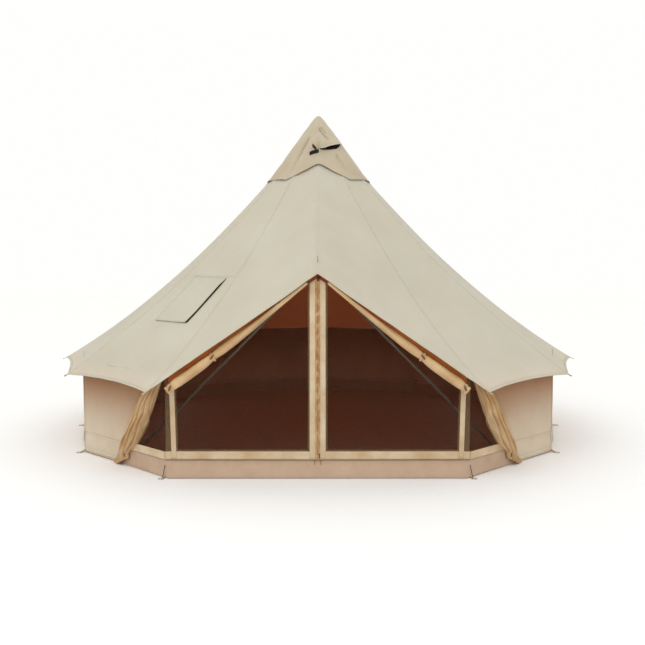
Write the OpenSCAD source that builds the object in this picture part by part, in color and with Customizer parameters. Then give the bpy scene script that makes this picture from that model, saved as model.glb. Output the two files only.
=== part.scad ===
// Bell tent: a round canvas tent on one centre pole, with an A-frame door.
// Millimetres, +Z up, door towards -Y, origin on the ground under the centre pole.

/* [Plan] */
// Radius from the centre pole to each floor corner
floor_r = 2500; // [2450:10:2550]
// Radius from the centre pole to each eave corner
eave_r = 2700; // [2660:10:2760]
// Plan radius at which the rain cap meets the roof
cap_r = 505; // [490:5:520]

/* [Heights] */
// Height of the eave corners above the ground
eave_z = 736; // [720:2:750]
// Height of the roof where the rain cap meets it
cap_z = 2616; // [2590:2:2640]
// Depth that the roof sags below a straight line from cap to eave
roof_sag = 150; // [140:2:160]
// Height of the tip of the rain cap
peak_z = 3285; // [3270:5:3300]
// Height of the groundsheet's upturned rim
tub_h = 150; // [130:5:160]

/* [Door] */
// Height of the canopy's front edge at its highest point
canopy_z = 1662; // [1655:1:1670]
// Distance of that point in front of the centre pole
canopy_y = 2080; // [2075:1:2085]
// Height of the top point of the mesh door
mesh_top_z = 1640; // [1630:1:1645]
// Width of one mesh door leaf along the floor
leaf_w = 1200; // [1180:5:1210]
// Diameter of the rolled canvas door at its thick end
roll_d = 76; // [70:1:80]

/* [Windows] */
// Width of a window opening
window_w = 530; // [480:5:535]
// Height of a window opening
window_h = 300; // [280:5:310]
// Height of a window's sill above the ground
sill_z = 370; // [360:5:380]

/* [Poles] */
// Outer diameter of the centre pole's tube
pole_d = 38; // [34:1:42]
// Outer diameter of the A-frame's tubes
leg_d = 28; // [25:1:30]
// Wall thickness of the tubes
tube_t = 1.5; // [1.2:0.1:2]

/* [Cloth] */
// Thickness of the canvas panels
canvas_t = 1; // [0.8:0.1:1.2]
// Thickness of the groundsheet
sheet_t = 0.5; // [0.5:0.1:0.8]
// Gap left at a sewn seam, on each side of it
seam = 1; // [0.8:0.1:1.2]

/* [Hidden] */

$fn = 48;
step_a = 30;                                  // angle between neighbouring corners
corner_angles = [for (a = [step_a:step_a:360 - step_a]) a];
side_w = 2 * floor_r * sin(step_a / 2);       // length of one side of the floor
apothem = floor_r * cos(step_a / 2);          // centre to the middle of a side
front_y = floor_r * cos(step_a);              // centre to the middle of the door side

// roof profile along a corner rib, as height over plan radius
roof_run = eave_r - cap_r;
roof_slope = (cap_z - eave_z) / roof_run;
crown_slope = roof_slope + 4 * roof_sag / roof_run;
crown_r = 60;
fold_gap = 2;
rib_radii = [crown_r, cap_r, 1000, 1500, 2000, eave_r];
ridge_slope = (cap_z - canopy_z) / (canopy_y - cap_r);
wall_h = roof_z(floor_r) - 12;

// rain cap
cap_tip_r = 15;
cap_flare_r = 420;
cap_rim_r = 520;
cap_lift = 8;
cap_flare_z = roof_z(cap_flare_r) + cap_lift;
cap_slope = (peak_z - cap_flare_z) / (cap_flare_r - cap_tip_r);
cap_front_r = 390;
cap_side_r = 480;

// windows
cover_w = window_w + 70;
cover_h = window_h + 30;
cover_hinge_z = sill_z - 15;
cover_gap = 4;
window_fit = 0.5;

// door
mesh_top = [0, -2040, mesh_top_z];
mesh_t = 1;
leaf_gap = 3;
leaf_foot_z = tub_h + 3;
zip_offset = 13;
corner_top_z = wall_h - 6;
mesh_side_w = 534;
wall_cut_top = 150;
wall_cut_foot = 744;
drape_t = 50;
drape_foot_w = 560;

// poles
spike_y = 1950;
spike_r = 4;
spike_len = 50;
spike_base_r = 5.5;
spike_rise = 52;
bracket_z = 1712;
leg_foot = [1690, -1500, 0];
foot_h = 30;
pole_foot_h = 40;
pole_top = roof_z(crown_r) - 60;
pole_joint = 1600;
joiner_len = 160;
fit = 0.3;

// stove jack, in the facet of the first left-hand roof panel
jack_angle = -1.5 * step_a;
jack_top_r = 1500;
jack_foot_r = 2000;
flap_w = 450;
flap_len = 600;

function roof_z(r) = r < cap_r ? cap_z + (cap_r - r) * crown_slope
    : cap_z - (r - cap_r) * roof_slope
      - 4 * roof_sag * (r - cap_r) * (eave_r - r) / (roof_run * roof_run);
function ridge_z(r) = r < cap_r ? roof_z(r) : cap_z - (r - cap_r) * ridge_slope;
function ridge_r(r) = r <= cap_r ? r
    : cap_r + (r - cap_r) * (canopy_y - cap_r) / roof_run;
function cap_height(r) = r < cap_flare_r ? peak_z - (r - cap_tip_r) * cap_slope
    : roof_z(r) + cap_lift;

// point at plan radius r, at an angle from the door, moved sideways off the seam
function rib(r, a, z, side) =
    [r * sin(a) + side * seam * cos(a), -r * cos(a) + side * seam * sin(a), z];

function unit(v) = v / norm(v);

// A flat or slightly twisted sheet: corners run anticlockwise seen from where lift points
module sheet(corners, lift) {
    n = len(corners);
    polyhedron(
        points = concat(corners, [for (p = corners) p + lift]),
        faces = concat(
            [for (i = [1:n - 2]) [0, i, i + 1]],
            [for (i = [1:n - 2]) [n, n + i + 1, n + i]],
            [for (i = [0:n - 1]) let (j = (i + 1) % n) [i, i + n, j + n, j]]
        )
    );
}

// A tube or rod between two points
module rod(from, to, r) {
    v = to - from;
    translate(from)
        rotate([0, acos(v.z / norm(v)), atan2(v.y, v.x)])
            cylinder(h = norm(v), r = r);
}

// Places children on a floor side: -Y outwards, X along the side, Z up
module on_side(angle, distance = apothem) {
    rotate([0, 0, angle]) translate([0, -distance, 0]) children();
}

// Places children on the roof facet that carries the stove jack: -Y down the slope, Z outwards
module on_jack() {
    fall = roof_z(jack_top_r) - roof_z(jack_foot_r);
    run = (jack_foot_r - jack_top_r) * cos(step_a / 2);
    rotate([0, 0, jack_angle])
        translate([0, -jack_top_r * cos(step_a / 2), roof_z(jack_top_r)])
            rotate([atan2(fall, run), 0, 0])
                children();
}

module groundsheet_floor() {
    inset = floor_r - 6;
    color("rosybrown")
        linear_extrude(sheet_t)
            polygon([for (a = corner_angles) [inset * sin(a), -inset * cos(a)]]);
}

module rim_side(angle, distance, width) {
    on_side(angle, distance)
        translate([-width / 2, canvas_t + 2, sheet_t + 0.5])
            cube([width, sheet_t, tub_h - sheet_t - 0.5]);
}

module groundsheet_rim() {
    corner_room = 4 * seam;
    color("rosybrown") {
        rim_side(0, front_y, floor_r - corner_room);
        for (i = [1:10]) rim_side((i + 0.5) * step_a, apothem, side_w - corner_room);
    }
}

module peg_straps() {
    color("tan")
        for (a = corner_angles)
            rotate([0, 0, a])
                translate([-10, -floor_r - 34, 0])
                    cube([20, 30, 3]);
}

module peg_rings() {
    wire_r = 2.5;
    ring_r = 20;
    color("silver")
        for (a = corner_angles)
            rotate([0, 0, a])
                translate([0, -floor_r - 36 - ring_r - wire_r, wire_r])
                    rotate_extrude()
                        translate([ring_r, 0])
                            circle(wire_r, $fn = 16);
}

module wall_slab(w, h) {
    translate([-w / 2, 0, 0]) cube([w, canvas_t, h]);
}

module wall_panels_plain() {
    color("wheat")
        for (i = [-5.5, -3.5, 3.5, 5.5])
            on_side(i * step_a)
                wall_slab(side_w - 2 * seam, wall_h);
}

// Upright outline on a floor side, drawn in X and Z and given a thickness inwards
module upright(points, thickness) {
    translate([0, thickness, 0])
        rotate([90, 0, 0])
            linear_extrude(thickness)
                polygon(points);
}

module wall_front_right() {
    left = -side_w / 2;
    color("wheat")
        on_side(1.5 * step_a)
            upright([
                [left + wall_cut_foot, 0], [side_w / 2 - seam, 0],
                [side_w / 2 - seam, wall_h], [left + wall_cut_top, wall_h]
            ], canvas_t);
}

module wall_front_left() {
    mirror([1, 0, 0]) wall_front_right();
}

module wall_window(angle) {
    color("wheat")
        on_side(angle)
            difference() {
                wall_slab(side_w - 2 * seam, wall_h);
                translate([-window_w / 2, -canvas_t, sill_z])
                    cube([window_w, 3 * canvas_t, window_h]);
            }
}

module wall_window_front_right() { wall_window(2.5 * step_a); }
module wall_window_front_left() { wall_window(-2.5 * step_a); }
module wall_window_rear_right() { wall_window(4.5 * step_a); }
module wall_window_rear_left() { wall_window(-4.5 * step_a); }

module window_meshes() {
    color("dimgray")
        for (i = [-4.5, -2.5, 2.5, 4.5])
            on_side(i * step_a)
                translate([-window_w / 2 + window_fit, 0, sill_z + window_fit])
                    cube([window_w - 2 * window_fit, mesh_t, window_h - 2 * window_fit]);
}

module window_cover(angle) {
    color("wheat")
        on_side(angle)
            translate([-cover_w / 2, -cover_gap - canvas_t, cover_hinge_z - cover_h])
                cube([cover_w, canvas_t, cover_h]);
}

module window_cover_front_right() { window_cover(2.5 * step_a); }
module window_cover_front_left() { window_cover(-2.5 * step_a); }
module window_cover_rear_right() { window_cover(4.5 * step_a); }
module window_cover_rear_left() { window_cover(-4.5 * step_a); }

// One regular roof panel between two ribs, in flat facets from crown to eave
module roof_panel(a) {
    b = a + step_a;
    color("cornsilk")
        for (i = [0:len(rib_radii) - 2]) {
            top_r = rib_radii[i] + seam;
            foot_r = rib_radii[i + 1] - seam;
            sheet([
                rib(top_r, a, roof_z(top_r), 1), rib(foot_r, a, roof_z(foot_r), 1),
                rib(foot_r, b, roof_z(foot_r), -1), rib(top_r, b, roof_z(top_r), -1)
            ], [0, 0, canvas_t]);
        }
}

module roof_right_1() { roof_panel(1 * step_a); }
module roof_right_2() { roof_panel(2 * step_a); }
module roof_right_3() { roof_panel(3 * step_a); }
module roof_right_4() { roof_panel(4 * step_a); }
module roof_right_5() { roof_panel(5 * step_a); }
module roof_left_1() { roof_panel(-2 * step_a); }
module roof_left_2() { roof_panel(-3 * step_a); }
module roof_left_3() { roof_panel(-4 * step_a); }
module roof_left_4() { roof_panel(-5 * step_a); }
module roof_left_5() { roof_panel(-6 * step_a); }

// Front panel between the door ridge and the first rib, in flat triangles, with the spike's hole
module roof_front_right() {
    color("cornsilk")
        difference() {
            for (i = [0:len(rib_radii) - 2]) {
                top_r = rib_radii[i] + seam;
                foot_r = rib_radii[i + 1] - seam;
                ridge_top = rib(ridge_r(top_r), 0, ridge_z(ridge_r(top_r)), 1);
                ridge_foot = rib(ridge_r(foot_r), 0, ridge_z(ridge_r(foot_r)), 1);
                rib_foot = rib(foot_r, step_a, roof_z(foot_r), -1);
                rib_top = rib(top_r, step_a, roof_z(top_r), -1);
                sheet([ridge_top, ridge_foot, rib_foot], [0, 0, canvas_t]);
                sheet([
                    ridge_top + unit(rib_top - ridge_top) * fold_gap,
                    rib_foot + unit(rib_top - rib_foot) * fold_gap,
                    rib_top
                ], [0, 0, canvas_t]);
            }
            translate([0, -spike_y, bracket_z]) cylinder(h = 200, r = spike_base_r + 1);
        }
}

module roof_front_left() {
    mirror([1, 0, 0]) roof_front_right();
}

module guy_loops() {
    loop_w = 25;
    loop_len = 55;
    loop_t = 3;
    color("tan")
        for (a = corner_angles)
            rotate([0, 0, a])
                translate([0, -eave_r - 2, eave_z - loop_t])
                    rotate([30, 0, 0])
                        difference() {
                            translate([-loop_w / 2, -loop_len, 0])
                                cube([loop_w, loop_len, loop_t]);
                            translate([0, -loop_len + 14, -1])
                                cylinder(h = loop_t + 2, r = 8);
                        }
}

// One facet of the rain cap, between two hem radii
module cap_facet(a, top_r, foot_a, foot_b) {
    b = a + step_a;
    sheet([
        rib(top_r, a, cap_height(top_r), 1), rib(foot_a, a, cap_height(foot_a), 1),
        rib(foot_b, b, cap_height(foot_b), -1), rib(top_r, b, cap_height(top_r), -1)
    ], [0, 0, canvas_t]);
}

module rain_cap() {
    color("burlywood") {
        cap_facet(0, cap_tip_r, cap_front_r, cap_side_r);
        cap_facet(-step_a, cap_tip_r, cap_side_r, cap_front_r);
        for (a = [step_a:step_a:360 - 2 * step_a]) {
            cap_facet(a, cap_tip_r, cap_flare_r - seam, cap_flare_r - seam);
            cap_facet(a, cap_flare_r, cap_rim_r, cap_rim_r);
        }
    }
}

// Awning over the vent slit in the front of the rain cap
module vent_hood() {
    clear = 6;
    lip_r = 300;
    lip_out = 45;
    top = rib(170, 22, cap_height(170) + clear, 0);
    left = rib(lip_r, 2, cap_height(lip_r) + clear, 0);
    middle = rib(lip_r + lip_out, 26, cap_height(lip_r) + clear + 12, 0);
    right = rib(lip_r + 18, 47, cap_height(lip_r) + clear + 12, 0);
    color("burlywood") sheet([top, left, middle, right], [0, 0, canvas_t]);
}

// Places children on the front left face of the rain cap: -Y down the slope
module on_cap(angle, r) {
    rotate([0, 0, angle])
        translate([0, -r, cap_height(r) + 10])
            rotate([atan(cap_slope), 0, 0])
                children();
}

module vent_strap() {
    color("black") {
        on_cap(-10, 300) rotate([0, 0, -12]) translate([-50, -12, 0]) cube([90, 22, 1.5]);
        on_cap(-6, 270) rotate([0, 0, 40]) translate([-10, -2, 3]) cube([20, 50, 1.5]);
    }
}

module vent_buckle() {
    color("silver")
        on_cap(4.5, 314)
            difference() {
                translate([-14, -14, 6]) cube([28, 28, 2.5]);
                translate([-10, -10, 5]) cube([20, 20, 5]);
            }
}

module stove_jack() {
    color("dimgray")
        on_jack()
            translate([-flap_w / 2 + 25, -flap_len + 20, 2])
                cube([flap_w - 50, flap_len - 40, 1]);
}

module stove_flap() {
    color("cornsilk")
        on_jack()
            translate([-flap_w / 2, -flap_len, 6])
                cube([flap_w, flap_len - 8, canvas_t]);
}

module pole_foot() {
    color("black")
        difference() {
            translate([0, 0, sheet_t + 0.5]) cylinder(h = pole_foot_h, r = pole_d / 2 + 5);
            translate([0, 0, sheet_t + 10]) cylinder(h = pole_foot_h, r = pole_d / 2 + fit);
        }
}

// A length of the centre pole's tube
module pole_tube(bottom, top) {
    difference() {
        translate([0, 0, bottom]) cylinder(h = top - bottom, r = pole_d / 2);
        translate([0, 0, bottom - 1]) cylinder(h = top - bottom + 2, r = pole_d / 2 - tube_t);
    }
}

module pole_lower() {
    color("gray") pole_tube(sheet_t + 10 + fit, pole_joint - fit);
}

module pole_upper() {
    color("gray") pole_tube(pole_joint + fit, pole_top);
}

module pole_joiner() {
    color("silver")
        translate([0, 0, pole_joint - joiner_len / 2])
            cylinder(h = joiner_len, r = pole_d / 2 - tube_t - fit);
}

module pole_head() {
    shoulder = 12;
    color("black") {
        translate([0, 0, pole_top - 40]) cylinder(h = 40 + fit, r = pole_d / 2 - tube_t - fit);
        translate([0, 0, pole_top + fit]) cylinder(h = shoulder, r = pole_d / 2 + 3);
        translate([0, 0, pole_top + fit + shoulder]) cylinder(h = 30, r1 = pole_d / 2 + 3, r2 = 10);
    }
}

bracket_top = [0, -spike_y, bracket_z];
leg_dir = unit(leg_foot - bracket_top);
leg_start = bracket_top + leg_dir * 25;
leg_end = bracket_top + leg_dir * (norm(leg_foot - bracket_top) - 24);

module a_frame_bracket() {
    socket_len = 110;
    hub_r = leg_d / 2 + 2;
    color("dimgray") {
        translate(bracket_top) sphere(r = hub_r);
        for (m = [0, 1])
            mirror([m, 0, 0])
                rod(bracket_top, bracket_top + leg_dir * socket_len, leg_d / 2 - tube_t - fit);
        translate(bracket_top) cylinder(h = spike_rise, r = spike_base_r);
        translate(bracket_top + [0, 0, spike_rise]) cylinder(h = spike_len, r = spike_r);
    }
}

module a_frame_leg_right() {
    color("gray")
        difference() {
            rod(leg_start, leg_end, leg_d / 2);
            rod(leg_start - leg_dir, leg_end + leg_dir, leg_d / 2 - tube_t);
            translate(bracket_top) sphere(r = leg_d / 2 + 2 + fit);
        }
}

module a_frame_leg_left() {
    mirror([1, 0, 0]) a_frame_leg_right();
}

module a_frame_feet() {
    cup_r = leg_d / 2 + 4;
    color("black")
        for (m = [0, 1])
            mirror([m, 0, 0])
                difference() {
                    rod(leg_end - leg_dir * foot_h, leg_end + leg_dir * 40, cup_r);
                    rod(leg_end - leg_dir * (foot_h + 1), leg_end + leg_dir * fit, leg_d / 2 + fit);
                    translate(leg_foot + [-100, -100, sheet_t + 0.5 - 100]) cube([200, 200, 100]);
                }
}

module canopy_grommet() {
    color("dimgray")
        translate([0, -spike_y, ridge_z(spike_y)])
            rotate([atan(ridge_slope), 0, 0])
                difference() {
                    translate([0, 0, canvas_t + 1]) cylinder(h = 3, r = 16);
                    cylinder(h = 10, r = spike_base_r + 4);
                }
}

// Rolled-up canvas door, tied under the canopy's edge
module door_roll_right() {
    thin_r = 16;
    top = [175, -2088, 1470];
    foot = [1290, -2322, 705];
    color("peru")
        hull() {
            translate(top) sphere(r = thin_r, $fn = 24);
            translate(foot) sphere(r = roll_d / 2, $fn = 24);
        }
}

module door_roll_left() {
    mirror([1, 0, 0]) door_roll_right();
}

// Pulled-back edge of the canvas door, gathered in folds beside the wall panel
module door_drape_right() {
    left = -side_w / 2;
    color("tan")
        on_side(1.5 * step_a)
            translate([0, -drape_t - 1, 0])
                upright([
                    [left + wall_cut_foot - 4, 2], [left + wall_cut_top - 4, wall_h - 30],
                    [left + 34, wall_h - 30], [left + mesh_side_w + 12, 190],
                    [left + mesh_side_w + 12, 60], [left + drape_foot_w + 40, 2]
                ], drape_t);
}

module door_drape_left() {
    mirror([1, 0, 0]) door_drape_right();
}

// Wooden toggles that tie the rolls and the drapes
module door_toggles() {
    length = 36;
    toggle_r = 5;
    color("saddlebrown")
        for (m = [0, 1])
            mirror([m, 0, 0]) {
                translate([835, -2275, 1010]) rotate([90, 0, 20]) cylinder(h = length, r = toggle_r);
                translate([1215, -2360, 690]) rotate([90, 0, 20]) cylinder(h = length, r = toggle_r);
                on_side(1.5 * step_a)
                    translate([-side_w / 2 + mesh_side_w, -drape_t - 8, 105])
                        cylinder(h = length, r = toggle_r);
            }
}

leaf_outer = [leaf_w, -front_y + 5, leaf_foot_z];
leaf_edge = unit(leaf_outer - mesh_top);
leaf_side = unit([1, 0, 0] - leaf_edge * leaf_edge.x);

// Lower inner half of a mesh door, that folds outwards about the slanting line
module mesh_leaf_right() {
    gap = leaf_side * leaf_gap;
    color("saddlebrown")
        sheet([
            mesh_top + leaf_edge * 40 - gap + [0, 0, -20],
            leaf_outer - leaf_edge * 8 - gap - [10, 0, 0],
            [1, -front_y, leaf_foot_z]
        ], [0, mesh_t, 0]);
}

// Both leaves share the line of the centre zip, which stays on the right leaf
module mesh_leaf_left() {
    color("saddlebrown") mirror([1, 0, 0]) mesh_leaf_right();
}

// Sewn-in half of a mesh door, and the mesh round the corner beside it
module mesh_fixed_right() {
    gap = leaf_side * leaf_gap;
    left = -side_w / 2;
    color("saddlebrown") {
        sheet([
            mesh_top + leaf_edge * 40 + gap,
            [floor_r / 2 - 3, -front_y + 1, corner_top_z],
            [floor_r / 2 - 3, -front_y + 1, leaf_foot_z],
            leaf_outer + gap
        ], [0, mesh_t, 0]);
        on_side(1.5 * step_a)
            upright([
                [left + 4, leaf_foot_z], [left + mesh_side_w - 8, leaf_foot_z],
                [left + 4, wall_h - 20]
            ], mesh_t);
    }
}

module mesh_fixed_left() {
    mirror([1, 0, 0]) mesh_fixed_right();
}

// Slider and pull tab of a zip, with the tab hanging down
module zip_slider(body_w) {
    translate([-body_w / 2, -7, 0]) cube([body_w, 6, 14]);
    translate([-3, -8, -26]) cube([6, 2, 30]);
}

module zip_slider_centre() {
    color("dimgray")
        translate([zip_offset, -front_y, leaf_foot_z + 32])
            zip_slider(12);
}

module zip_slider_right() {
    color("dimgray")
        translate([zip_offset + 12, -front_y, tub_h - 16]) zip_slider(14);
}

module zip_slider_left() {
    mirror([1, 0, 0]) zip_slider_right();
}

groundsheet_floor();
groundsheet_rim();
peg_straps();
peg_rings();
wall_panels_plain();
wall_front_right();
wall_front_left();
wall_window_front_right();
wall_window_front_left();
wall_window_rear_right();
wall_window_rear_left();
window_meshes();
window_cover_front_right();
window_cover_front_left();
window_cover_rear_right();
window_cover_rear_left();
roof_front_right();
roof_front_left();
roof_right_1();
roof_right_2();
roof_right_3();
roof_right_4();
roof_right_5();
roof_left_1();
roof_left_2();
roof_left_3();
roof_left_4();
roof_left_5();
guy_loops();
rain_cap();
vent_hood();
vent_strap();
vent_buckle();
stove_jack();
stove_flap();
pole_foot();
pole_lower();
pole_joiner();
pole_upper();
pole_head();
a_frame_bracket();
a_frame_leg_right();
a_frame_leg_left();
a_frame_feet();
canopy_grommet();
door_roll_right();
door_roll_left();
door_drape_right();
door_drape_left();
door_toggles();
mesh_leaf_right();
mesh_leaf_left();
mesh_fixed_right();
mesh_fixed_left();
zip_slider_centre();
zip_slider_right();
zip_slider_left();
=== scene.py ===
"""A round canvas bell tent on a centre pole, dressed for rendering.

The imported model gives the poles, rings and moving bodies. This script adds the sewn and woven pieces:
the roof, the rain cap with its vent, the walls with their windows, the rolled and gathered canvas door,
the mesh door with its bands and zips, the groundsheet, and the webbing, toggles and sliders.
Lengths are metres, +Z is up and the door faces -Y.
"""

import logging
import math
from collections.abc import Callable, Sequence
from dataclasses import dataclass, field
from enum import Enum

import bmesh
import bpy
from mathutils import Matrix, Vector, noise


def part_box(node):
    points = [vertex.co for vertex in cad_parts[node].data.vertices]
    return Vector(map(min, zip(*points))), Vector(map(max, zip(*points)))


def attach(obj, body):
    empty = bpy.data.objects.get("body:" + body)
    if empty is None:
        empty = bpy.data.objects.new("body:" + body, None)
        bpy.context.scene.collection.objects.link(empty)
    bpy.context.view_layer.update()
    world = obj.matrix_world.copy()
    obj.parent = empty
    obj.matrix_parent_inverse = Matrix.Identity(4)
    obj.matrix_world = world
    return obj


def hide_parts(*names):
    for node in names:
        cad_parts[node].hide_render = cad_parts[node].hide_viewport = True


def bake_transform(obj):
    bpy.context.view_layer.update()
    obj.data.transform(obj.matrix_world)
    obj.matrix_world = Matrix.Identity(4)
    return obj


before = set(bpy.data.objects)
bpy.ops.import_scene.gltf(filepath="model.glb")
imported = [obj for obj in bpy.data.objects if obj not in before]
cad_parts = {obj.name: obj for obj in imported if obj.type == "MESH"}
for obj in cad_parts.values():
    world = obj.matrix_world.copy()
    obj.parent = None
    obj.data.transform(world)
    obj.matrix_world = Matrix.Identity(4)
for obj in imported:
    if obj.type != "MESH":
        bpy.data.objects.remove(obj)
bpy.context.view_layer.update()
LOG = logging.getLogger("bell_tent")

Place = Callable[[float, float], Vector]


class Side(Enum):
    """The right or the left half of the tent, seen from the door."""

    RIGHT = 1
    LEFT = -1

    @property
    def word(self) -> str:
        """The side's name in node names."""
        return self.name.lower()


class Hold(Enum):
    STRETCHED = "stretched"
    HUNG = "hung"
    LAID = "laid"
    GATHERED = "gathered"
    FOLDED = "folded"


# ---------------------------------------------------------------- small helpers


def polar(radius: float, degrees: float, height: float) -> Vector:
    """Gives the point at a plan radius and an angle from the door.

    Args:
        radius: distance from the centre pole.
        degrees: angle from the door, towards +X.
        height: height above the ground.

    Returns:
        The point.
    """
    turn = math.radians(degrees)
    return Vector((radius * math.sin(turn), -radius * math.cos(turn), height))


def mix(low: float, high: float, share: float) -> float:
    """Gives the number a share of the way from low to high."""
    return low + (high - low) * share


def smooth_step(share: float) -> float:
    """Eases a share of 0 to 1 so that it starts and ends level."""
    share = min(1.0, max(0.0, share))
    return share * share * (3 - 2 * share)


def hump(share: float) -> float:
    """Gives a parabola that is 0 at both ends and 1 in the middle."""
    return 4 * share * (1 - share)


def ripple(point: Vector, size: float, seed: float = 0.0) -> float:
    """Gives smooth noise of about -1 to 1 that repeats over a length of size."""
    return noise.noise(point / size + Vector((seed, 2 * seed, -seed)))


def linear(hex_colour: str) -> tuple[float, float, float, float]:
    """Turns an sRGB hex colour into linear RGBA.

    Args:
        hex_colour: such as "#CDC6B3".

    Returns:
        Linear red, green, blue and an alpha of 1.
    """
    parts = [int(hex_colour[i : i + 2], 16) / 255 for i in (1, 3, 5)]
    red, green, blue = (
        p / 12.92 if p <= 0.04045 else ((p + 0.055) / 1.055) ** 2.4 for p in parts
    )
    return red, green, blue, 1.0


# ---------------------------------------------------------------- finishes


def add_node(
    tree: bpy.types.NodeTree, kind: str, inputs: dict | None = None, **settings
) -> bpy.types.Node:
    """Adds a node, with its settings and links.

    Args:
        tree: the tree that takes the node.
        kind: Blender's type name for the node.
        inputs: socket name or number to a value, or to (node, output) for a link.
        settings: attributes of the node.

    Returns:
        The new node.
    """
    node = tree.nodes.new(kind)
    for key, value in settings.items():
        setattr(node, key, value)
    for socket, value in (inputs or {}).items():
        if isinstance(value, tuple) and isinstance(value[0], bpy.types.Node):
            tree.links.new(value[0].outputs[value[1]], node.inputs[socket])
        else:
            node.inputs[socket].default_value = value
    return node


def thread_scale(millimetres: float) -> float:
    """Gives the Wave Texture scale whose bands are this far apart on coordinates in metres."""
    return 2 * math.pi / (20 * millimetres / 1000)


@dataclass(frozen=True)
class Finish:
    """What every finish has: a name and a way to build its material."""

    name: str

    def start(self) -> tuple[bpy.types.Material, bpy.types.NodeTree]:
        """Makes an empty node material.

        Returns:
            The material and its tree.
        """
        material = bpy.data.materials.new(self.name)
        material.use_nodes = True
        material.node_tree.nodes.clear()
        return material, material.node_tree


@dataclass(frozen=True)
class WovenFinish(Finish):
    """Plain-woven cloth: crossing threads, slubs, and a slow drift of colour."""

    light: str
    dark: str
    glow: str
    thread_mm: float = 3.0
    glow_share: float = 0.0
    roughness: float = 0.92
    sheen: float = 0.15
    crease_mm: float = 3.0
    weave_depth: float = 0.35
    drift_scale: float = 1.6
    # top: a colour blended in with height; on the walls it is painted shade under the eaves.
    top: str = ""

    def build(self) -> bpy.types.Material:
        """Builds the material.

        Returns:
            The material, which reads the piece's own UV map in metres.
        """
        material, tree = self.start()
        uv = add_node(tree, "ShaderNodeUVMap", uv_map="Cut")
        place = add_node(tree, "ShaderNodeTexCoord")
        scale = thread_scale(self.thread_mm)
        warp = add_node(
            tree, "ShaderNodeTexWave", {"Vector": (uv, 0), "Scale": scale, "Distortion": 0.6},
            wave_type="BANDS", bands_direction="X",
        )
        weft = add_node(
            tree, "ShaderNodeTexWave", {"Vector": (uv, 0), "Scale": scale, "Distortion": 0.6},
            wave_type="BANDS", bands_direction="Y",
        )
        weave = add_node(
            tree, "ShaderNodeMath", {0: (warp, "Fac"), 1: (weft, "Fac")}, operation="MULTIPLY"
        )
        slub = add_node(
            tree, "ShaderNodeTexNoise",
            {"Vector": (uv, 0), "Scale": 160.0, "Detail": 3.0, "Roughness": 0.7},
        )
        drift = add_node(
            tree, "ShaderNodeTexNoise",
            {"Vector": (place, "Object"), "Scale": self.drift_scale, "Detail": 5.0, "Roughness": 0.6},
        )
        shade = add_node(
            tree, "ShaderNodeMapRange",
            {"Value": (drift, "Fac"), "From Min": 0.3, "From Max": 0.7},
        )
        flecks = add_node(
            tree, "ShaderNodeMapRange", {"Value": (slub, "Fac"), "To Min": 0.45, "To Max": 1.25}
        )
        grain = add_node(
            tree, "ShaderNodeMath", {0: (flecks, "Result"), 1: (shade, "Result")}, operation="MULTIPLY"
        )
        colour = add_node(
            tree, "ShaderNodeMix",
            {"Factor": (grain, 0), "A": linear(self.light), "B": linear(self.dark)},
            data_type="RGBA",
        )
        # Blends the top colour in with height: painted shade under the eaves.
        if self.top:
            height = add_node(tree, "ShaderNodeSeparateXYZ", {0: (place, "Object")})
            rise = add_node(
                tree, "ShaderNodeMapRange",
                {"Value": (height, "Z"), "From Min": 0.10, "From Max": 0.86, "To Max": 0.95},
                interpolation_type="SMOOTHSTEP",
            )
            colour = add_node(
                tree, "ShaderNodeMix",
                {"Factor": (rise, "Result"), "A": (colour, "Result"), "B": linear(self.top)},
                data_type="RGBA",
            )
        crease = add_node(
            tree, "ShaderNodeTexNoise",
            {"Vector": (place, "Object"), "Scale": 7.0, "Detail": 4.0, "Roughness": 0.55},
        )
        fine = add_node(
            tree, "ShaderNodeBump",
            {"Height": (weave, 0), "Strength": self.weave_depth, "Distance": 0.0006},
        )
        bump = add_node(
            tree, "ShaderNodeBump",
            {"Height": (crease, "Fac"), "Strength": 0.5, "Distance": self.crease_mm / 1000,
             "Normal": (fine, "Normal")},
        )
        rough = add_node(
            tree, "ShaderNodeMapRange",
            {"Value": (slub, "Fac"), "To Min": self.roughness - 0.08, "To Max": self.roughness + 0.04},
        )
        cloth = add_node(
            tree, "ShaderNodeBsdfPrincipled",
            {"Base Color": (colour, "Result"), "Roughness": (rough, "Result"),
             "Normal": (bump, "Normal"), "Sheen Weight": self.sheen, "Specular IOR Level": 0.2},
        )
        surface = cloth
        if self.glow_share:
            through = add_node(
                tree, "ShaderNodeBsdfTranslucent",
                {"Color": linear(self.glow), "Normal": (bump, "Normal")},
            )
            surface = add_node(
                tree, "ShaderNodeMixShader", {0: self.glow_share, 1: (cloth, 0), 2: (through, 0)}
            )
        add_node(tree, "ShaderNodeOutputMaterial", {"Surface": (surface, 0)})
        return material


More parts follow.
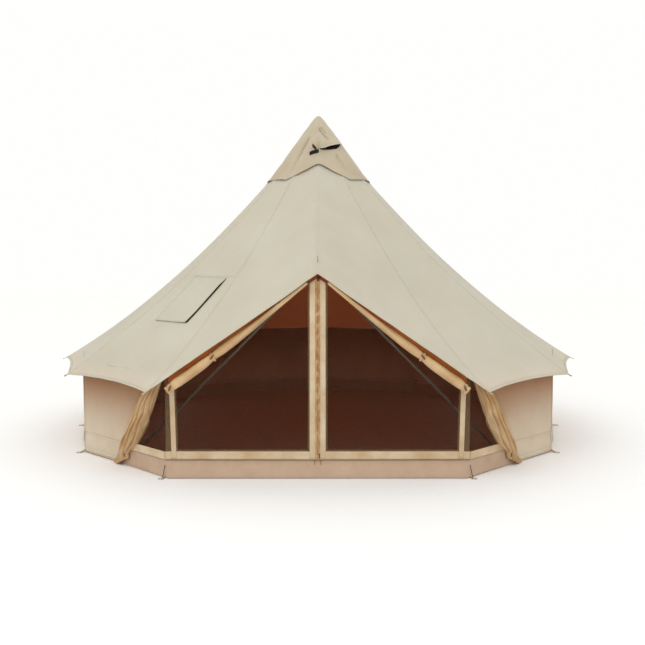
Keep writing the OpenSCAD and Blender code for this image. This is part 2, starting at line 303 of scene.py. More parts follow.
@dataclass(frozen=True)
class NetFinish(Finish):
    """Knitted insect net: dark yarn that lets the view through between its holes."""

    yarn: str
    worn: str
    cover: float

    def build(self) -> bpy.types.Material:
        """Builds the material, whose cover is the share of the view that the yarn hides.

        Returns:
            The material.
        """
        material, tree = self.start()
        uv = add_node(tree, "ShaderNodeUVMap", uv_map="Cut")
        knit = add_node(
            tree, "ShaderNodeTexVoronoi", {"Vector": (uv, 0), "Scale": 260.0},
            feature="DISTANCE_TO_EDGE",
        )
        drift = add_node(
            tree, "ShaderNodeTexNoise", {"Vector": (uv, 0), "Scale": 3.0, "Detail": 4.0}
        )
        colour = add_node(
            tree, "ShaderNodeMix",
            {"Factor": (drift, "Fac"), "A": linear(self.yarn), "B": linear(self.worn)},
            data_type="RGBA",
        )
        bump = add_node(
            tree, "ShaderNodeBump",
            {"Height": (knit, "Distance"), "Strength": 0.4, "Distance": 0.0005},
        )
        net = add_node(
            tree, "ShaderNodeBsdfPrincipled",
            {"Base Color": (colour, "Result"), "Normal": (bump, "Normal"), "Roughness": 0.8,
             "Alpha": self.cover, "Specular IOR Level": 0.2},
        )
        add_node(tree, "ShaderNodeOutputMaterial", {"Surface": (net, 0)})
        return material


@dataclass(frozen=True)
class CoatedFinish(Finish):
    """A smooth or grained coating, moulding or metal skin with wear and a fine grain."""

    light: str
    dark: str
    roughness: float
    metallic: float = 0.0
    grain_mm: float = 2.0
    grain_depth: float = 0.3
    wear_scale: float = 9.0
    stretch: tuple[float, float, float] = (1.0, 1.0, 1.0)

    def build(self) -> bpy.types.Material:
        """Builds the material.

        Returns:
            The material, which reads Object coordinates.
        """
        material, tree = self.start()
        place = add_node(tree, "ShaderNodeTexCoord")
        turned = add_node(
            tree, "ShaderNodeMapping", {"Vector": (place, "Object"), "Scale": self.stretch}
        )
        grain = add_node(
            tree, "ShaderNodeTexNoise",
            {"Vector": (turned, 0), "Scale": 1000 / self.grain_mm, "Detail": 3.0},
        )
        wear = add_node(
            tree, "ShaderNodeTexNoise",
            {"Vector": (turned, 0), "Scale": self.wear_scale, "Detail": 6.0, "Roughness": 0.65},
        )
        colour = add_node(
            tree, "ShaderNodeMix",
            {"Factor": (wear, "Fac"), "A": linear(self.light), "B": linear(self.dark)},
            data_type="RGBA",
        )
        rough = add_node(
            tree, "ShaderNodeMapRange",
            {"Value": (wear, "Fac"), "To Min": self.roughness - 0.1, "To Max": self.roughness + 0.1},
        )
        bump = add_node(
            tree, "ShaderNodeBump",
            {"Height": (grain, "Fac"), "Strength": self.grain_depth,
             "Distance": self.grain_mm / 4000},
        )
        skin = add_node(
            tree, "ShaderNodeBsdfPrincipled",
            {"Base Color": (colour, "Result"), "Roughness": (rough, "Result"),
             "Normal": (bump, "Normal"), "Metallic": self.metallic},
        )
        add_node(tree, "ShaderNodeOutputMaterial", {"Surface": (skin, 0)})
        return material


# Polycotton canvas, 285 g: matt, dry and even, and it glows amber where light comes through.
CANVAS = WovenFinish(
    "polycotton_canvas", light="#DEE4D1", dark="#D5D8C3", glow="#F29A2C", glow_share=0.34
)
# The same canvas on the walls, given warmer colours than the roof as painted warm glow, pale at the foot
# and darkening to amber brown towards the top as painted shade under the eaves.
WALL_CANVAS = WovenFinish(
    "weathered_wall_canvas", light="#E1D4BF", dark="#CCB89B", glow="#E8974A", glow_share=0.12,
    top="#94602C",
)
# The rain cap's double canvas: a shade browner than the roof, and nearly opaque.
CAP_CANVAS = WovenFinish(
    "double_cap_canvas", light="#C9BFA8", dark="#B7A78B", glow="#D9A060", glow_share=0.10,
    crease_mm=9.0, drift_scale=2.2,
)
# Door canvas: the tent's cloth, softer from handling.
DOOR_CANVAS = WovenFinish(
    "handled_door_canvas", light="#EBCFA2", dark="#C39A64", glow="#E8853A", glow_share=0.20,
    crease_mm=7.0, drift_scale=4.0,
)
# The door's head, single canvas under the canopy, given a darker burnt amber than the door's own canvas:
# painted shade and painted glow of the backlit cloth.
HEAD_CANVAS = WovenFinish(
    "backlit_door_head", light="#B66E2E", dark="#874D1C", glow="#EE7F22", glow_share=0.30,
    crease_mm=5.0, drift_scale=4.0,
)
# Herringbone cotton tape on the mesh door: pale, tight and flat.
COTTON_TAPE = WovenFinish(
    "herringbone_cotton_tape", light="#DBC9AB", dark="#BF9F76", glow="#E0A560",
    thread_mm=2.5, glow_share=0.08, crease_mm=2.0, drift_scale=5.0,
)
# Zip tape: brown woven polyester, puckered, with darker blotches along it that are painted shade for its
# puckers.
ZIP_TAPE = WovenFinish(
    "brown_zip_tape", light="#CFAE82", dark="#94632F", glow="#C0A070", thread_mm=2.0,
    glow_share=0.05, crease_mm=3.0, drift_scale=14.0,
)
# Cotton webbing: thick threads, tan.
WEBBING = WovenFinish(
    "cotton_webbing", light="#C9AE86", dark="#A88C64", glow="#C9AE86", thread_mm=2.0,
    crease_mm=0.6, weave_depth=0.8,
)
# Polypropylene webbing: black with a slight shine.
BLACK_WEBBING = WovenFinish(
    "black_polypropylene_webbing", light="#1B1A19", dark="#0E0D0D", glow="#000000",
    thread_mm=2.0, roughness=0.6, crease_mm=0.6, weave_depth=0.8,
)
# Glass-fibre cloth with a silicone coat: nearly black and slightly shiny.
STOVE_CLOTH = WovenFinish(
    "silicone_glass_fibre_cloth", light="#2A2826", dark="#171615", glow="#000000",
    thread_mm=2.0, roughness=0.5, crease_mm=1.0,
)
# Knitted polyester net: dark brown, half open.
INSECT_NET = NetFinish("knitted_insect_net", yarn="#1D1408", worn="#2A1E0D", cover=0.44)
# The net's doubled selvedge, where it is sewn to a tape: greyer and denser.
SELVEDGE_NET = NetFinish("doubled_net_selvedge", yarn="#7E6A4C", worn="#6B5840", cover=0.62)
# The vent's net under the hood: the net's own dark brown, made opaque and nearly black as painted shade in
# the hood's mouth.
VENT_NET = NetFinish("vent_net", yarn="#170D07", worn="#0F0805", cover=1.0)
# PVC-coated groundsheet: pinkish tan with a dull embossed grain.
GROUNDSHEET = CoatedFinish(
    "embossed_pvc_groundsheet", light="#C3A98F", dark="#AE8F78", roughness=0.55, grain_mm=3.0
)
# Zinc-plated tube: dull warm grey, brushed lengthways by handling.
ZINC_TUBE = CoatedFinish(
    "zinc_plated_steel_tube", light="#B5AC9C", dark="#8F8778", roughness=0.5, metallic=0.45,
    grain_mm=1.5, grain_depth=0.15, wear_scale=30.0,
)
# Nickel-plated steel: bright, small scratches.
NICKEL = CoatedFinish(
    "nickel_plated_steel", light="#CFCFCC", dark="#A9A9A6", roughness=0.25, metallic=1.0,
    grain_mm=0.8, grain_depth=0.2, wear_scale=60.0,
)
# Moulded rubber: black, matt.
RUBBER = CoatedFinish(
    "moulded_black_rubber", light="#1E1D1C", dark="#121111", roughness=0.75, grain_mm=1.0
)
# Turned beech: oiled and brown, grain along its length.
BEECH = CoatedFinish(
    "oiled_beech", light="#8A5A34", dark="#5E3A20", roughness=0.5, grain_mm=1.5,
    grain_depth=0.3, wear_scale=70.0, stretch=(1.0, 1.0, 0.2),
)
# Brown polyester zip coil and its enamelled slider.
ZIP_COIL = CoatedFinish(
    "brown_zip_coil", light="#A07C55", dark="#80603F", roughness=0.45, grain_mm=1.0
)
ZIP_ENAMEL = CoatedFinish(
    "black_enamelled_zip_slider", light="#2A2522", dark="#171412", roughness=0.35,
    metallic=0.3, grain_mm=0.8,
)
# Elastic cord: black braid.
ELASTIC = CoatedFinish(
    "black_elastic_cord", light="#26221F", dark="#151311", roughness=0.7, grain_mm=1.0,
    grain_depth=0.6,
)


class Wardrobe:
    """Builds each finish once and hands out its material."""

    def __init__(self) -> None:
        """Starts with nothing built."""
        self.built: dict[str, bpy.types.Material] = {}

    def get(self, finish: Finish) -> bpy.types.Material:
        """Gives the material for a finish."""
        if finish.name not in self.built:
            self.built[finish.name] = finish.build()
        return self.built[finish.name]


WARDROBE = Wardrobe()


# ---------------------------------------------------------------- making pieces


def cloth(
    columns: int,
    rows: int,
    place: Place,
    size: tuple[float, float],
    keep: Callable[[float, float], bool] | None = None,
    merge: bool = False,
) -> bmesh.types.BMesh:
    """Makes a sheet of cloth as a grid whose points are put where place says.

    Args:
        columns: faces across the sheet.
        rows: faces along it.
        place: gives the point for a share across and a share along.
        size: the sheet's width and length, for its UV map in metres.
        keep: tells for a face's middle whether the face stays.
        merge: joins points that meet, as where the sheet closes on itself.

    Returns:
        The bmesh.
    """
    bm = bmesh.new()
    layer = bm.loops.layers.uv.new("Cut")
    bmesh.ops.create_grid(bm, x_segments=columns, y_segments=rows, size=0.5)
    half = max(v.co.x for v in bm.verts)
    for vert in bm.verts:
        shares = [min(1.0, max(0.0, 0.5 + c / (2 * half))) for c in vert.co[:2]]
        vert.co = Vector((*shares, 0))
    if keep:
        cut = [f for f in bm.faces if not keep(f.calc_center_median().x, f.calc_center_median().y)]
        bmesh.ops.delete(bm, geom=cut, context="FACES")
    for face in bm.faces:
        for loop in face.loops:
            loop[layer].uv = (loop.vert.co.x * size[0], loop.vert.co.y * size[1])
    for vert in bm.verts:
        vert.co = place(vert.co.x, vert.co.y)
    if merge:
        bmesh.ops.remove_doubles(bm, verts=bm.verts, dist=1e-5)
    return bm


def turn_outwards(bm: bmesh.types.BMesh, centre: Vector) -> None:
    """Turns a sheet's faces so that they look away from a point.

    Args:
        bm: the sheet.
        centre: the point behind it.
    """
    bm.normal_update()
    lean = sum(
        f.normal.dot(f.calc_center_median() - centre) * f.calc_area() for f in bm.faces
    )
    if lean < 0:
        bmesh.ops.reverse_faces(bm, faces=bm.faces)


def piece(
    bm: bmesh.types.BMesh,
    name: str,
    finish: Finish,
    body: str | None = "tent",
    thickness: float = 0.0,
    smooth: bool = True,
    stands_for: Sequence[str] = (),
) -> bpy.types.Object:
    """Turns a bmesh into a finished piece that rides on a body.

    Args:
        bm: the shape, which is freed.
        name: the piece's name.
        finish: its finish.
        body: the body that it rides on, or None where it is blended later.
        thickness: the cloth's thickness, or 0.
        smooth: whether its faces shade smoothly.
        stands_for: the CAD nodes that it replaces.

    Returns:
        The piece.
    """
    mesh = bpy.data.meshes.new(name)
    bm.to_mesh(mesh)
    bm.free()
    mesh.materials.append(WARDROBE.get(finish))
    if smooth:
        mesh.shade_smooth()
    made = bpy.data.objects.new(name, mesh)
    bpy.context.scene.collection.objects.link(made)
    if thickness:
        solid = made.modifiers.new("Thickness", "SOLIDIFY")
        solid.thickness = thickness
        solid.offset = 0.0
    if stands_for:
        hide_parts(*stands_for)
    if body:
        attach(made, body)
    LOG.info("%s: %d faces", name, len(mesh.polygons))
    return made


def tube(
    path: Sequence[Vector], radius: float, sides: int = 8, closed: bool = False
) -> bmesh.types.BMesh:
    """Extrudes a ring along a path, for a cord, a wire or a tie.

    Args:
        path: the points of its centreline.
        radius: its radius.
        sides: how many sides it has.
        closed: whether its end joins its start.

    Returns:
        The bmesh.
    """
    bm = bmesh.new()
    bm.loops.layers.uv.new("Cut")
    points = list(path)
    count = len(points)
    rings = []
    for i, point in enumerate(points):
        before = points[i - 1] if i or closed else point
        after = points[(i + 1) % count] if i < count - 1 or closed else point
        along = (after - before).normalized()
        turn = along.to_track_quat("Z", "Y").to_matrix().to_4x4()
        made = bmesh.ops.create_circle(
            bm, cap_ends=False, radius=radius, segments=sides, matrix=Matrix.Translation(point) @ turn
        )
        rings.append([e for e in bm.edges if all(v in set(made["verts"]) for v in e.verts)])
    pairs = list(zip(rings, rings[1:]))
    if closed:
        pairs.append((rings[-1], rings[0]))
    for first, second in pairs:
        bmesh.ops.bridge_loops(bm, edges=first + second)
    if not closed:
        bmesh.ops.holes_fill(bm, edges=rings[0] + rings[-1], sides=sides)
    bmesh.ops.recalc_face_normals(bm, faces=bm.faces)
    return bm


def arc_path(points: Sequence[Vector], steps: int) -> list[Vector]:
    """Gives a smooth path through points, as a Catmull-Rom curve.

    Args:
        points: the points that it passes through.
        steps: how many steps it takes between two of them.

    Returns:
        The path's points.
    """
    ends = [points[0], *points, points[-1]]
    path = []
    for i in range(1, len(ends) - 2):
        a, b, c, d = ends[i - 1 : i + 3]
        for k in range(steps):
            t = k / steps
            path.append(
                0.5 * (2 * b + (c - a) * t + (2 * a - 5 * b + 4 * c - d) * t**2
                       + (3 * b - a - 3 * c + d) * t**3)
            )
    path.append(points[-1].copy())
    return path


def rounded_box(at: Vector, size: tuple[float, float, float], edge: float) -> bmesh.types.BMesh:
    """Builds a box with its edges rounded.

    Args:
        at: the box's middle.
        size: its width, depth and height.
        edge: how much the edges are cut back.

    Returns:
        The mesh, with an empty cut layout.
    """
    bm = bmesh.new()
    bm.loops.layers.uv.new("Cut")
    bmesh.ops.create_cube(bm, size=1.0, matrix=Matrix.Translation(at) @ Matrix.Diagonal((*size, 1)))
    bmesh.ops.bevel(bm, geom=bm.edges[:], offset=edge, segments=2, affect="EDGES", profile=0.5, material=-1)
    return bm


def joined(parts: Sequence[bmesh.types.BMesh]) -> bmesh.types.BMesh:
    """Puts several bmeshes into one.

    Args:
        parts: the bmeshes, which are freed.

    Returns:
        One bmesh that holds them all.
    """
    whole = bmesh.new()
    whole.loops.layers.uv.new("Cut")
    for part in parts:
        mesh = bpy.data.meshes.new("part")
        part.to_mesh(mesh)
        part.free()
        whole.from_mesh(mesh)
        bpy.data.meshes.remove(mesh)
    return whole


def mirrored(place: Place) -> Place:
    """Gives the same sheet on the left half of the tent."""

    def flipped(u: float, v: float) -> Vector:
        """Mirrors the point across the door's middle line."""
        point = place(u, v)
        return Vector((-point.x, point.y, point.z))

    return flipped


# ---------------------------------------------------------------- the plan that all pieces share


@dataclass(frozen=True)
class Plan:
    """The tent's driving sizes, the same as the frame's."""

    floor_r: float = 2.5
    eave_r: float = 2.7
    eave_z: float = 0.736
    cap_r: float = 0.505
    cap_z: float = 2.616
    sag: float = 0.150
    crown_r: float = 0.060
    canopy_y: float = 2.080
    canopy_z: float = 1.662
    rim_h: float = 0.150
    mesh_top: tuple[float, float, float] = (0.0, -2.040, 1.640)
    leaf_w: float = 1.200
    sector: float = 30.0

    @property
    def run(self) -> float:
        """Plan distance from the cap's hem to the eave."""
        return self.eave_r - self.cap_r

    @property
    def front_y(self) -> float:
        """Distance from the pole to the middle of the door side."""
        return self.floor_r * math.cos(math.radians(self.sector))

    @property
    def apothem(self) -> float:
        """Distance from the pole to the middle of another side."""
        return self.floor_r * math.cos(math.radians(self.sector / 2))

    @property
    def side_w(self) -> float:
        """Length of one floor side."""
        return 2 * self.floor_r * math.sin(math.radians(self.sector / 2))

    @property
    def wall_h(self) -> float:
        """Height at which the wall meets the roof."""
        return self.roof_z(self.floor_r) - 0.012

    def roof_z(self, radius: float) -> float:
        """Gives the roof's height on a corner rib at a plan radius."""
        slope = (self.cap_z - self.eave_z) / self.run
        if radius < self.cap_r:
            return self.cap_z + (self.cap_r - radius) * (slope + 4 * self.sag / self.run)
        out = radius - self.cap_r
        return self.cap_z - out * slope - 4 * self.sag * out * (self.run - out) / self.run**2

    def ridge(self, radius: float) -> Vector:
        """Gives the point of the door ridge that faces a rib's point at this radius."""
        if radius <= self.cap_r:
            return Vector((0, -radius, self.roof_z(radius)))
        share = (radius - self.cap_r) / self.run
        return Vector(
            (0, -mix(self.cap_r, self.canopy_y, share), mix(self.cap_z, self.canopy_z, share))
        )

    def on_side(self, index: float, along: float, height: float, out: float = 0.0) -> Vector:
        """Gives a point of a floor side.

        Args:
            index: the side's middle, in sectors from the door.
            along: distance from the middle, towards the next corner.
            height: height above the ground.
            out: distance outwards from the wall's face.

        Returns:
            The point.
        """
        turn = math.radians(index * self.sector)
        spot = Vector((along, -self.apothem - out, height))
        return Matrix.Rotation(turn, 3, "Z") @ spot


PLAN = Plan()


# ---------------------------------------------------------------- roof


@dataclass
class Roof:
    """The roof canvas with its seams and hems, in twelve panels."""

    columns: int = 16
    rows: int = 60
    scallop: float = 0.040
    fullness: float = 0.003
    tape_w: float = 0.018
    hem_w: float = 0.022
    cloth_t: float = 0.0015
    tape_lift: float = 0.0012
    apex_drop: float = 0.010
    peak_rise: float = 0.030
    peak_share: float = 0.935
    panel_w: float = 1.4
    panel_len: float = 3.3
    slope_len: float = 3.35
    pulls: dict[int, float] = field(default_factory=lambda: {1: 0.028, 2: -0.055})

    def rib(self, station: int, radius: float) -> Vector:
        """Gives a point on a corner rib, or on the door ridge at station 0.

        Args:
            station: the rib, in sectors from the door.
            radius: its plan radius, before the corner's own pull.

        Returns:
            The point.
        """
        if station == 0:
            return PLAN.ridge(radius)
        share = max(0.0, radius - PLAN.cap_r) / PLAN.run
        pull = self.pulls.get(abs(station), 0.0) * share**8
        return polar(radius + pull, station * PLAN.sector, PLAN.roof_z(radius))

    def point(self, station: float, share: float, lift: float = 0.0) -> Vector:
        """Gives a point of the roof's surface.

        Args:
            station: place round the tent, in sectors from the door, -6 to 6.
            share: place down the roof, 0 at the crown and 1 at the eave.
            lift: distance above the surface.

        Returns:
            The point.
        """
        first = min(5, math.floor(station))
        across = station - first
        front = first in (-1, 0)
        inset = 0.0 if front else self.scallop * hump(across)
        radius = mix(PLAN.crown_r, PLAN.eave_r - inset, share)
        spot = self.rib(first, radius).lerp(self.rib(first + 1, radius), across)
        out = Vector((spot.x, spot.y, 0)).normalized()
        normal = (out * 0.65 + Vector((0, 0, 0.76))).normalized()
        swell = self.fullness * hump(across) * math.sin(math.pi * min(1.0, share * 1.05))
        wave = 0.0025 * ripple(spot, 0.55) * smooth_step(share * 3)
        edge = 0.005 * ripple(spot, 0.16, 3.0) * smooth_step((share - 0.86) / 0.14)
        if front:
            near = math.exp(-((spot.x / 0.035) ** 2)) * smooth_step((share - 0.90) / 0.10)
            spot.z -= self.apex_drop * near
            peak = math.exp(-((spot.x / 0.11) ** 2) - ((share - self.peak_share) / 0.09) ** 2)
            spot.z += self.peak_rise * peak
        return spot + normal * (swell * (0.4 if front else 1.0) + wave + edge + lift)

    def over(self, middle: float, along: float, radius: float, lift: float) -> Vector:
        """Gives a point that lies on one panel.

        Args:
            middle: the panel's middle, in sectors from the door.
            along: distance to the side of the panel's middle line.
            radius: plan radius of the ribs there.
            lift: distance above the cloth.

        Returns:
            The point.
        """
        across = 0.5 + along / (2 * radius * math.sin(math.radians(PLAN.sector / 2)))
        reach = PLAN.eave_r - self.scallop * hump(across) - PLAN.crown_r
        return self.point(middle - 0.5 + across, (radius - PLAN.crown_r) / reach, lift)

    def canvas(self) -> bpy.types.Object:
        """Builds the roof's cloth.

        Returns:
            The piece.
        """
        bm = cloth(
            12 * self.columns, self.rows,
            lambda u, v: self.point(12 * u - 6, v),
            (12 * self.panel_w, self.panel_len), merge=True,
        )
        turn_outwards(bm, Vector((0, 0, 1)))
        nodes = [f"roof_{side}_{i}" for side in ("right", "left") for i in range(1, 6)]
        return piece(
            bm, "roof_canvas", CANVAS, thickness=self.cloth_t,
            stands_for=[*nodes, "roof_front_right", "roof_front_left"],
        )

    def seams(self) -> bpy.types.Object:
        """Builds the felled seam along each rib; the door ridge has none.

        Returns:
            The piece.
        """
        parts = []
        for station in (k for k in range(-5, 7) if k):

            def along(u: float, v: float, rib: int = station) -> Vector:
                """Follows one rib, a few millimetres to each side."""
                share = mix(0.13, 0.997, v)
                wide = 2 * mix(PLAN.crown_r, PLAN.eave_r, share) * math.sin(math.radians(15))
                offset = (u - 0.5) * self.tape_w / wide
                place = rib + offset
                if place > 6:
                    place -= 12
                return self.point(place, share, self.tape_lift)

            parts.append(cloth(2, self.rows, along, (self.tape_w, 3.0)))
        bm = joined(parts)
        turn_outwards(bm, Vector((0, 0, 1)))
        return piece(bm, "roof_seams", CANVAS, thickness=self.cloth_t)

    def hem(self) -> bpy.types.Object:
        """Builds the doubled hem round the eave and the canopy's front edge.

        Returns:
            The piece.
        """
        slope = 2.9

        def around(u: float, v: float) -> Vector:
            """Follows the eave, folded under its edge."""
            return self.point(12 * u - 6, 1 - (1 - v) * self.hem_w / slope, self.tape_lift)

        bm = cloth(12 * self.columns, 2, around, (12 * 1.4, self.hem_w), merge=True)
        turn_outwards(bm, Vector((0, 0, 1)))
        return piece(bm, "roof_hem", CANVAS, thickness=self.cloth_t * 1.6)

    def build(self) -> bpy.types.Object:
        """Returns:
            The roof's cloth.
        """
        canvas, seams, hem = self.canvas(), self.seams(), self.hem()
        return canvas


@dataclass(frozen=True)
class Fold:
    """A fold in the cap's cloth, between two places given as an angle and a plan radius."""

    start: tuple[float, float]
    end: tuple[float, float]
    height: float
    width: float

    def rise(self, degrees: float, radius: float, stretch: float) -> float:
        """Gives how far the fold lifts the cloth at a place, or sinks it if its height is negative.

        Args:
            degrees: the place's angle.
            radius: the place's plan radius.
            stretch: the slope's length over its plan length.

        Returns:
            The rise, steep on the fold's right and gentle on its left.
        """
        spots = [
            Vector((math.radians(a) * r, stretch * r)) for a, r in (self.start, self.end, (degrees, radius))
        ]
        line = spots[1] - spots[0]
        offset = spots[2] - spots[0]
        share = offset.dot(line) / line.length_squared
        side = (offset.x * line.y - offset.y * line.x) / line.length
        ends = smooth_step(share / 0.15 + 0.5) * smooth_step((1 - share) / 0.5 + 0.2)
        spread = self.width if side > 0 else self.width * 3
        return self.height * ends * math.exp(-((side / spread) ** 2))


@dataclass
class RainCap:
    """The cap over the crown, with its vent, hood and strap."""

    tip_z: float = 3.325
    tip_round: float = 0.034
    slope: float = 1.40
    apex_r: float = 0.400
    kink_r: float = 0.548
    kink_at: float = 37.0
    scallop: float = 0.014
    clear: float = 0.005
    rows: int = 70
    columns: int = 360
    thickness: float = 0.002
    hood_steps: tuple[tuple[float, float, float], ...] = (
        (1.0, 0.300, 0.004), (9.0, 0.306, 0.016), (20.0, 0.296, 0.034), (34.0, 0.284, 0.040),
        (48.0, 0.272, 0.038), (62.0, 0.262, 0.010),
    )
    mouth_steps: tuple[tuple[float, float], ...] = (
        (3.0, 0.306), (9.0, 0.310), (22.0, 0.308), (38.0, 0.296), (52.0, 0.271), (60.0, 0.258),
    )
    folds: tuple[Fold, ...] = (
        Fold((-27.0, 0.205), (-34.5, 0.480), -0.036, 0.007),
        Fold((3.5, 0.130), (29.5, 0.245), -0.028, 0.006),
        Fold((15.0, 0.125), (31.0, 0.185), -0.020, 0.006),
        Fold((33.5, 0.340), (38.5, 0.470), -0.026, 0.008),
        Fold((150.0, 0.12), (158.0, 0.46), -0.012, 0.008),
        Fold((-112.0, 0.14), (-106.0, 0.46), -0.012, 0.008),
    )

    def height(self, radius: float) -> float:
        """Gives the cap's height at a plan radius."""
        cone = self.tip_z - self.slope * math.hypot(radius, self.tip_round)
        under = PLAN.roof_z(radius) + self.clear
        return max(cone, under) + 0.006 * math.exp(-abs(cone - under) / 0.02)

    def rim(self, degrees: float) -> float:
        """Gives the hem's radius, which rises over the door ridge and dips at six corners."""
        share = abs(degrees) / self.kink_at
        if share < 1:
            return mix(self.apex_r, self.kink_r, math.sqrt(share**2 + 0.02 * (1 - share)))
        past = (abs(degrees) - self.kink_at) / 60
        return self.kink_r - self.scallop * hump(past % 1.0) ** 0.5

    def point(self, degrees: float, radius: float, lift: float = 0.0) -> Vector:
        """Gives a point on the cap, or at a distance above it.

        Args:
            degrees: angle from the door.
            radius: plan radius.
            lift: distance above the cloth.

        Returns:
            The point.
        """
        spot = polar(radius, degrees, self.height(radius))
        out = polar(1, degrees, 0)
        normal = (out * 0.81 + Vector((0, 0, 0.58))).normalized()
        sway = 0.004 * ripple(spot, 0.12) * smooth_step(radius / 0.1)
        stretch = math.hypot(1, self.slope)
        room = 0.6 * max(0.0, self.height(radius) - PLAN.roof_z(radius) - self.clear)
        fold = max(-room, sum(f.rise(degrees, radius, stretch) for f in self.folds))
        return spot + normal * (lift + fold + sway)

    def along_steps(self, steps: Sequence[Sequence[float]], share: float) -> list[float]:
        """Gives the place at a share along a list of steps, straight from one to the next.

        Args:
            steps: the places in their order.
            share: 0 at the first step and 1 at the last.

        Returns:
            The numbers at that place.
        """
        spot = share * (len(steps) - 1)
        first = min(len(steps) - 2, int(spot))
        return [mix(a, b, spot - first) for a, b in zip(steps[first], steps[first + 1])]

    def canvas(self) -> bpy.types.Object:
        """Builds the cap's cloth.

        Returns:
            The piece.
        """

        def around(u: float, v: float) -> Vector:
            """Runs from the tip to the hem."""
            degrees = 360 * u - 180
            return self.point(degrees, mix(0.0, self.rim(degrees), v))

        bm = cloth(self.columns, self.rows, around, (3.2, 0.95), merge=True)
        turn_outwards(bm, Vector((0, 0, 2.5)))
        return piece(
            bm, "rain_cap_canvas", CAP_CANVAS, thickness=self.thickness,
            stands_for=["rain_cap"],
        )

    def hem(self) -> bpy.types.Object:
        """Builds the binding on the cap's edge.

        Returns:
            The piece.
        """

        def around(u: float, v: float) -> Vector:
            """Follows the hem."""
            degrees = 360 * u - 180
            return self.point(degrees, self.rim(degrees) - 0.008 * (1 - v), 0.0016)

        bm = cloth(self.columns, 2, around, (3.2, 0.016), merge=True)
        turn_outwards(bm, Vector((0, 0, 2.5)))
        return piece(bm, "rain_cap_binding", CAP_CANVAS, thickness=0.0015)

    def hood(self) -> bpy.types.Object:
        """Builds the hood that stands over the vent, with its hemmed lip.

        Returns:
            The piece.
        """

        def over(u: float, v: float) -> Vector:
            """Rises from the cap to the hood's lip."""
            degrees, radius, stand = self.along_steps(self.hood_steps, u)
            low = mix(0.195, radius, v)
            return self.point(degrees, low, 0.003 + stand * v**1.5)

        bm = cloth(40, 14, over, (0.30, 0.20))
        turn_outwards(bm, Vector((0, 0, 2.5)))
        made = piece(
            bm, "vent_hood_canvas", CAP_CANVAS, thickness=self.thickness,
            stands_for=["vent_hood"],
        )

        def lip(u: float, v: float) -> Vector:
            """Folds the hem over the hood's lip."""
            degrees, radius, stand = self.along_steps(self.hood_steps, u)
            return self.point(degrees, radius - 0.007 * (1 - v), 0.005 + stand * (1 - 0.03 * (1 - v)))

        bm = cloth(40, 2, lip, (0.30, 0.014))
        turn_outwards(bm, Vector((0, 0, 2.5)))
        # The lip is a real hem, given the paler roof canvas rather than the cap's as a painted highlight
        # along its lit edge.
        hem = piece(bm, "vent_hood_lip", CANVAS, thickness=0.002)
        return made

    def vent(self) -> bpy.types.Object:
        """Builds the vent panel under the hood, opaque and nearly black as painted shade.

        Returns:
            The piece.
        """

        def under(u: float, v: float) -> Vector:
            """Covers the slit down to the mouth's lower edge."""
            degrees, low = self.along_steps(self.mouth_steps, u)
            return self.point(degrees, mix(0.225, low, v), 0.0022)

        bm = cloth(24, 10, under, (0.25, 0.12))
        turn_outwards(bm, Vector((0, 0, 2.5)))
        return piece(bm, "vent_net", VENT_NET, thickness=0.001)

    def strap(self) -> bpy.types.Object:
        """Builds the webbing strap that props the hood, in its runs past the buckle.

        Returns:
            The piece.
        """

        def run(
            start: tuple[float, float], end: tuple[float, float], width: float, lift: float
        ) -> bmesh.types.BMesh:
            """Lays a flat strap over the cap between two points."""

            def along(u: float, v: float) -> Vector:
                """Follows the strap, curling a little off the cloth."""
                degrees = mix(start[0], end[0], v)
                radius = mix(start[1], end[1], v)
                side = Vector((0, -0.3, 0.9)).normalized() * (u - 0.5) * width
                return self.point(degrees, radius, lift + 0.008 * hump(v)) + side

            return cloth(4, 12, along, (width, 0.12))

        bm = joined([
            run((-14.5, 0.347), (0.5, 0.325), 0.038, 0.014),
            run((-12.0, 0.282), (-3.5, 0.316), 0.034, 0.019),
            run((7.0, 0.322), (12.0, 0.318), 0.022, 0.030),
        ])
        turn_outwards(bm, Vector((0, 0, 2.5)))
        return piece(
            bm, "vent_strap_webbing", BLACK_WEBBING, thickness=0.002,
            stands_for=["vent_strap"],
        )

    def build(self) -> None:
        canvas, hem = self.canvas(), self.hem()
        vent = self.vent()
        self.hood()
        self.strap()


# ---------------------------------------------------------------- walls and windows


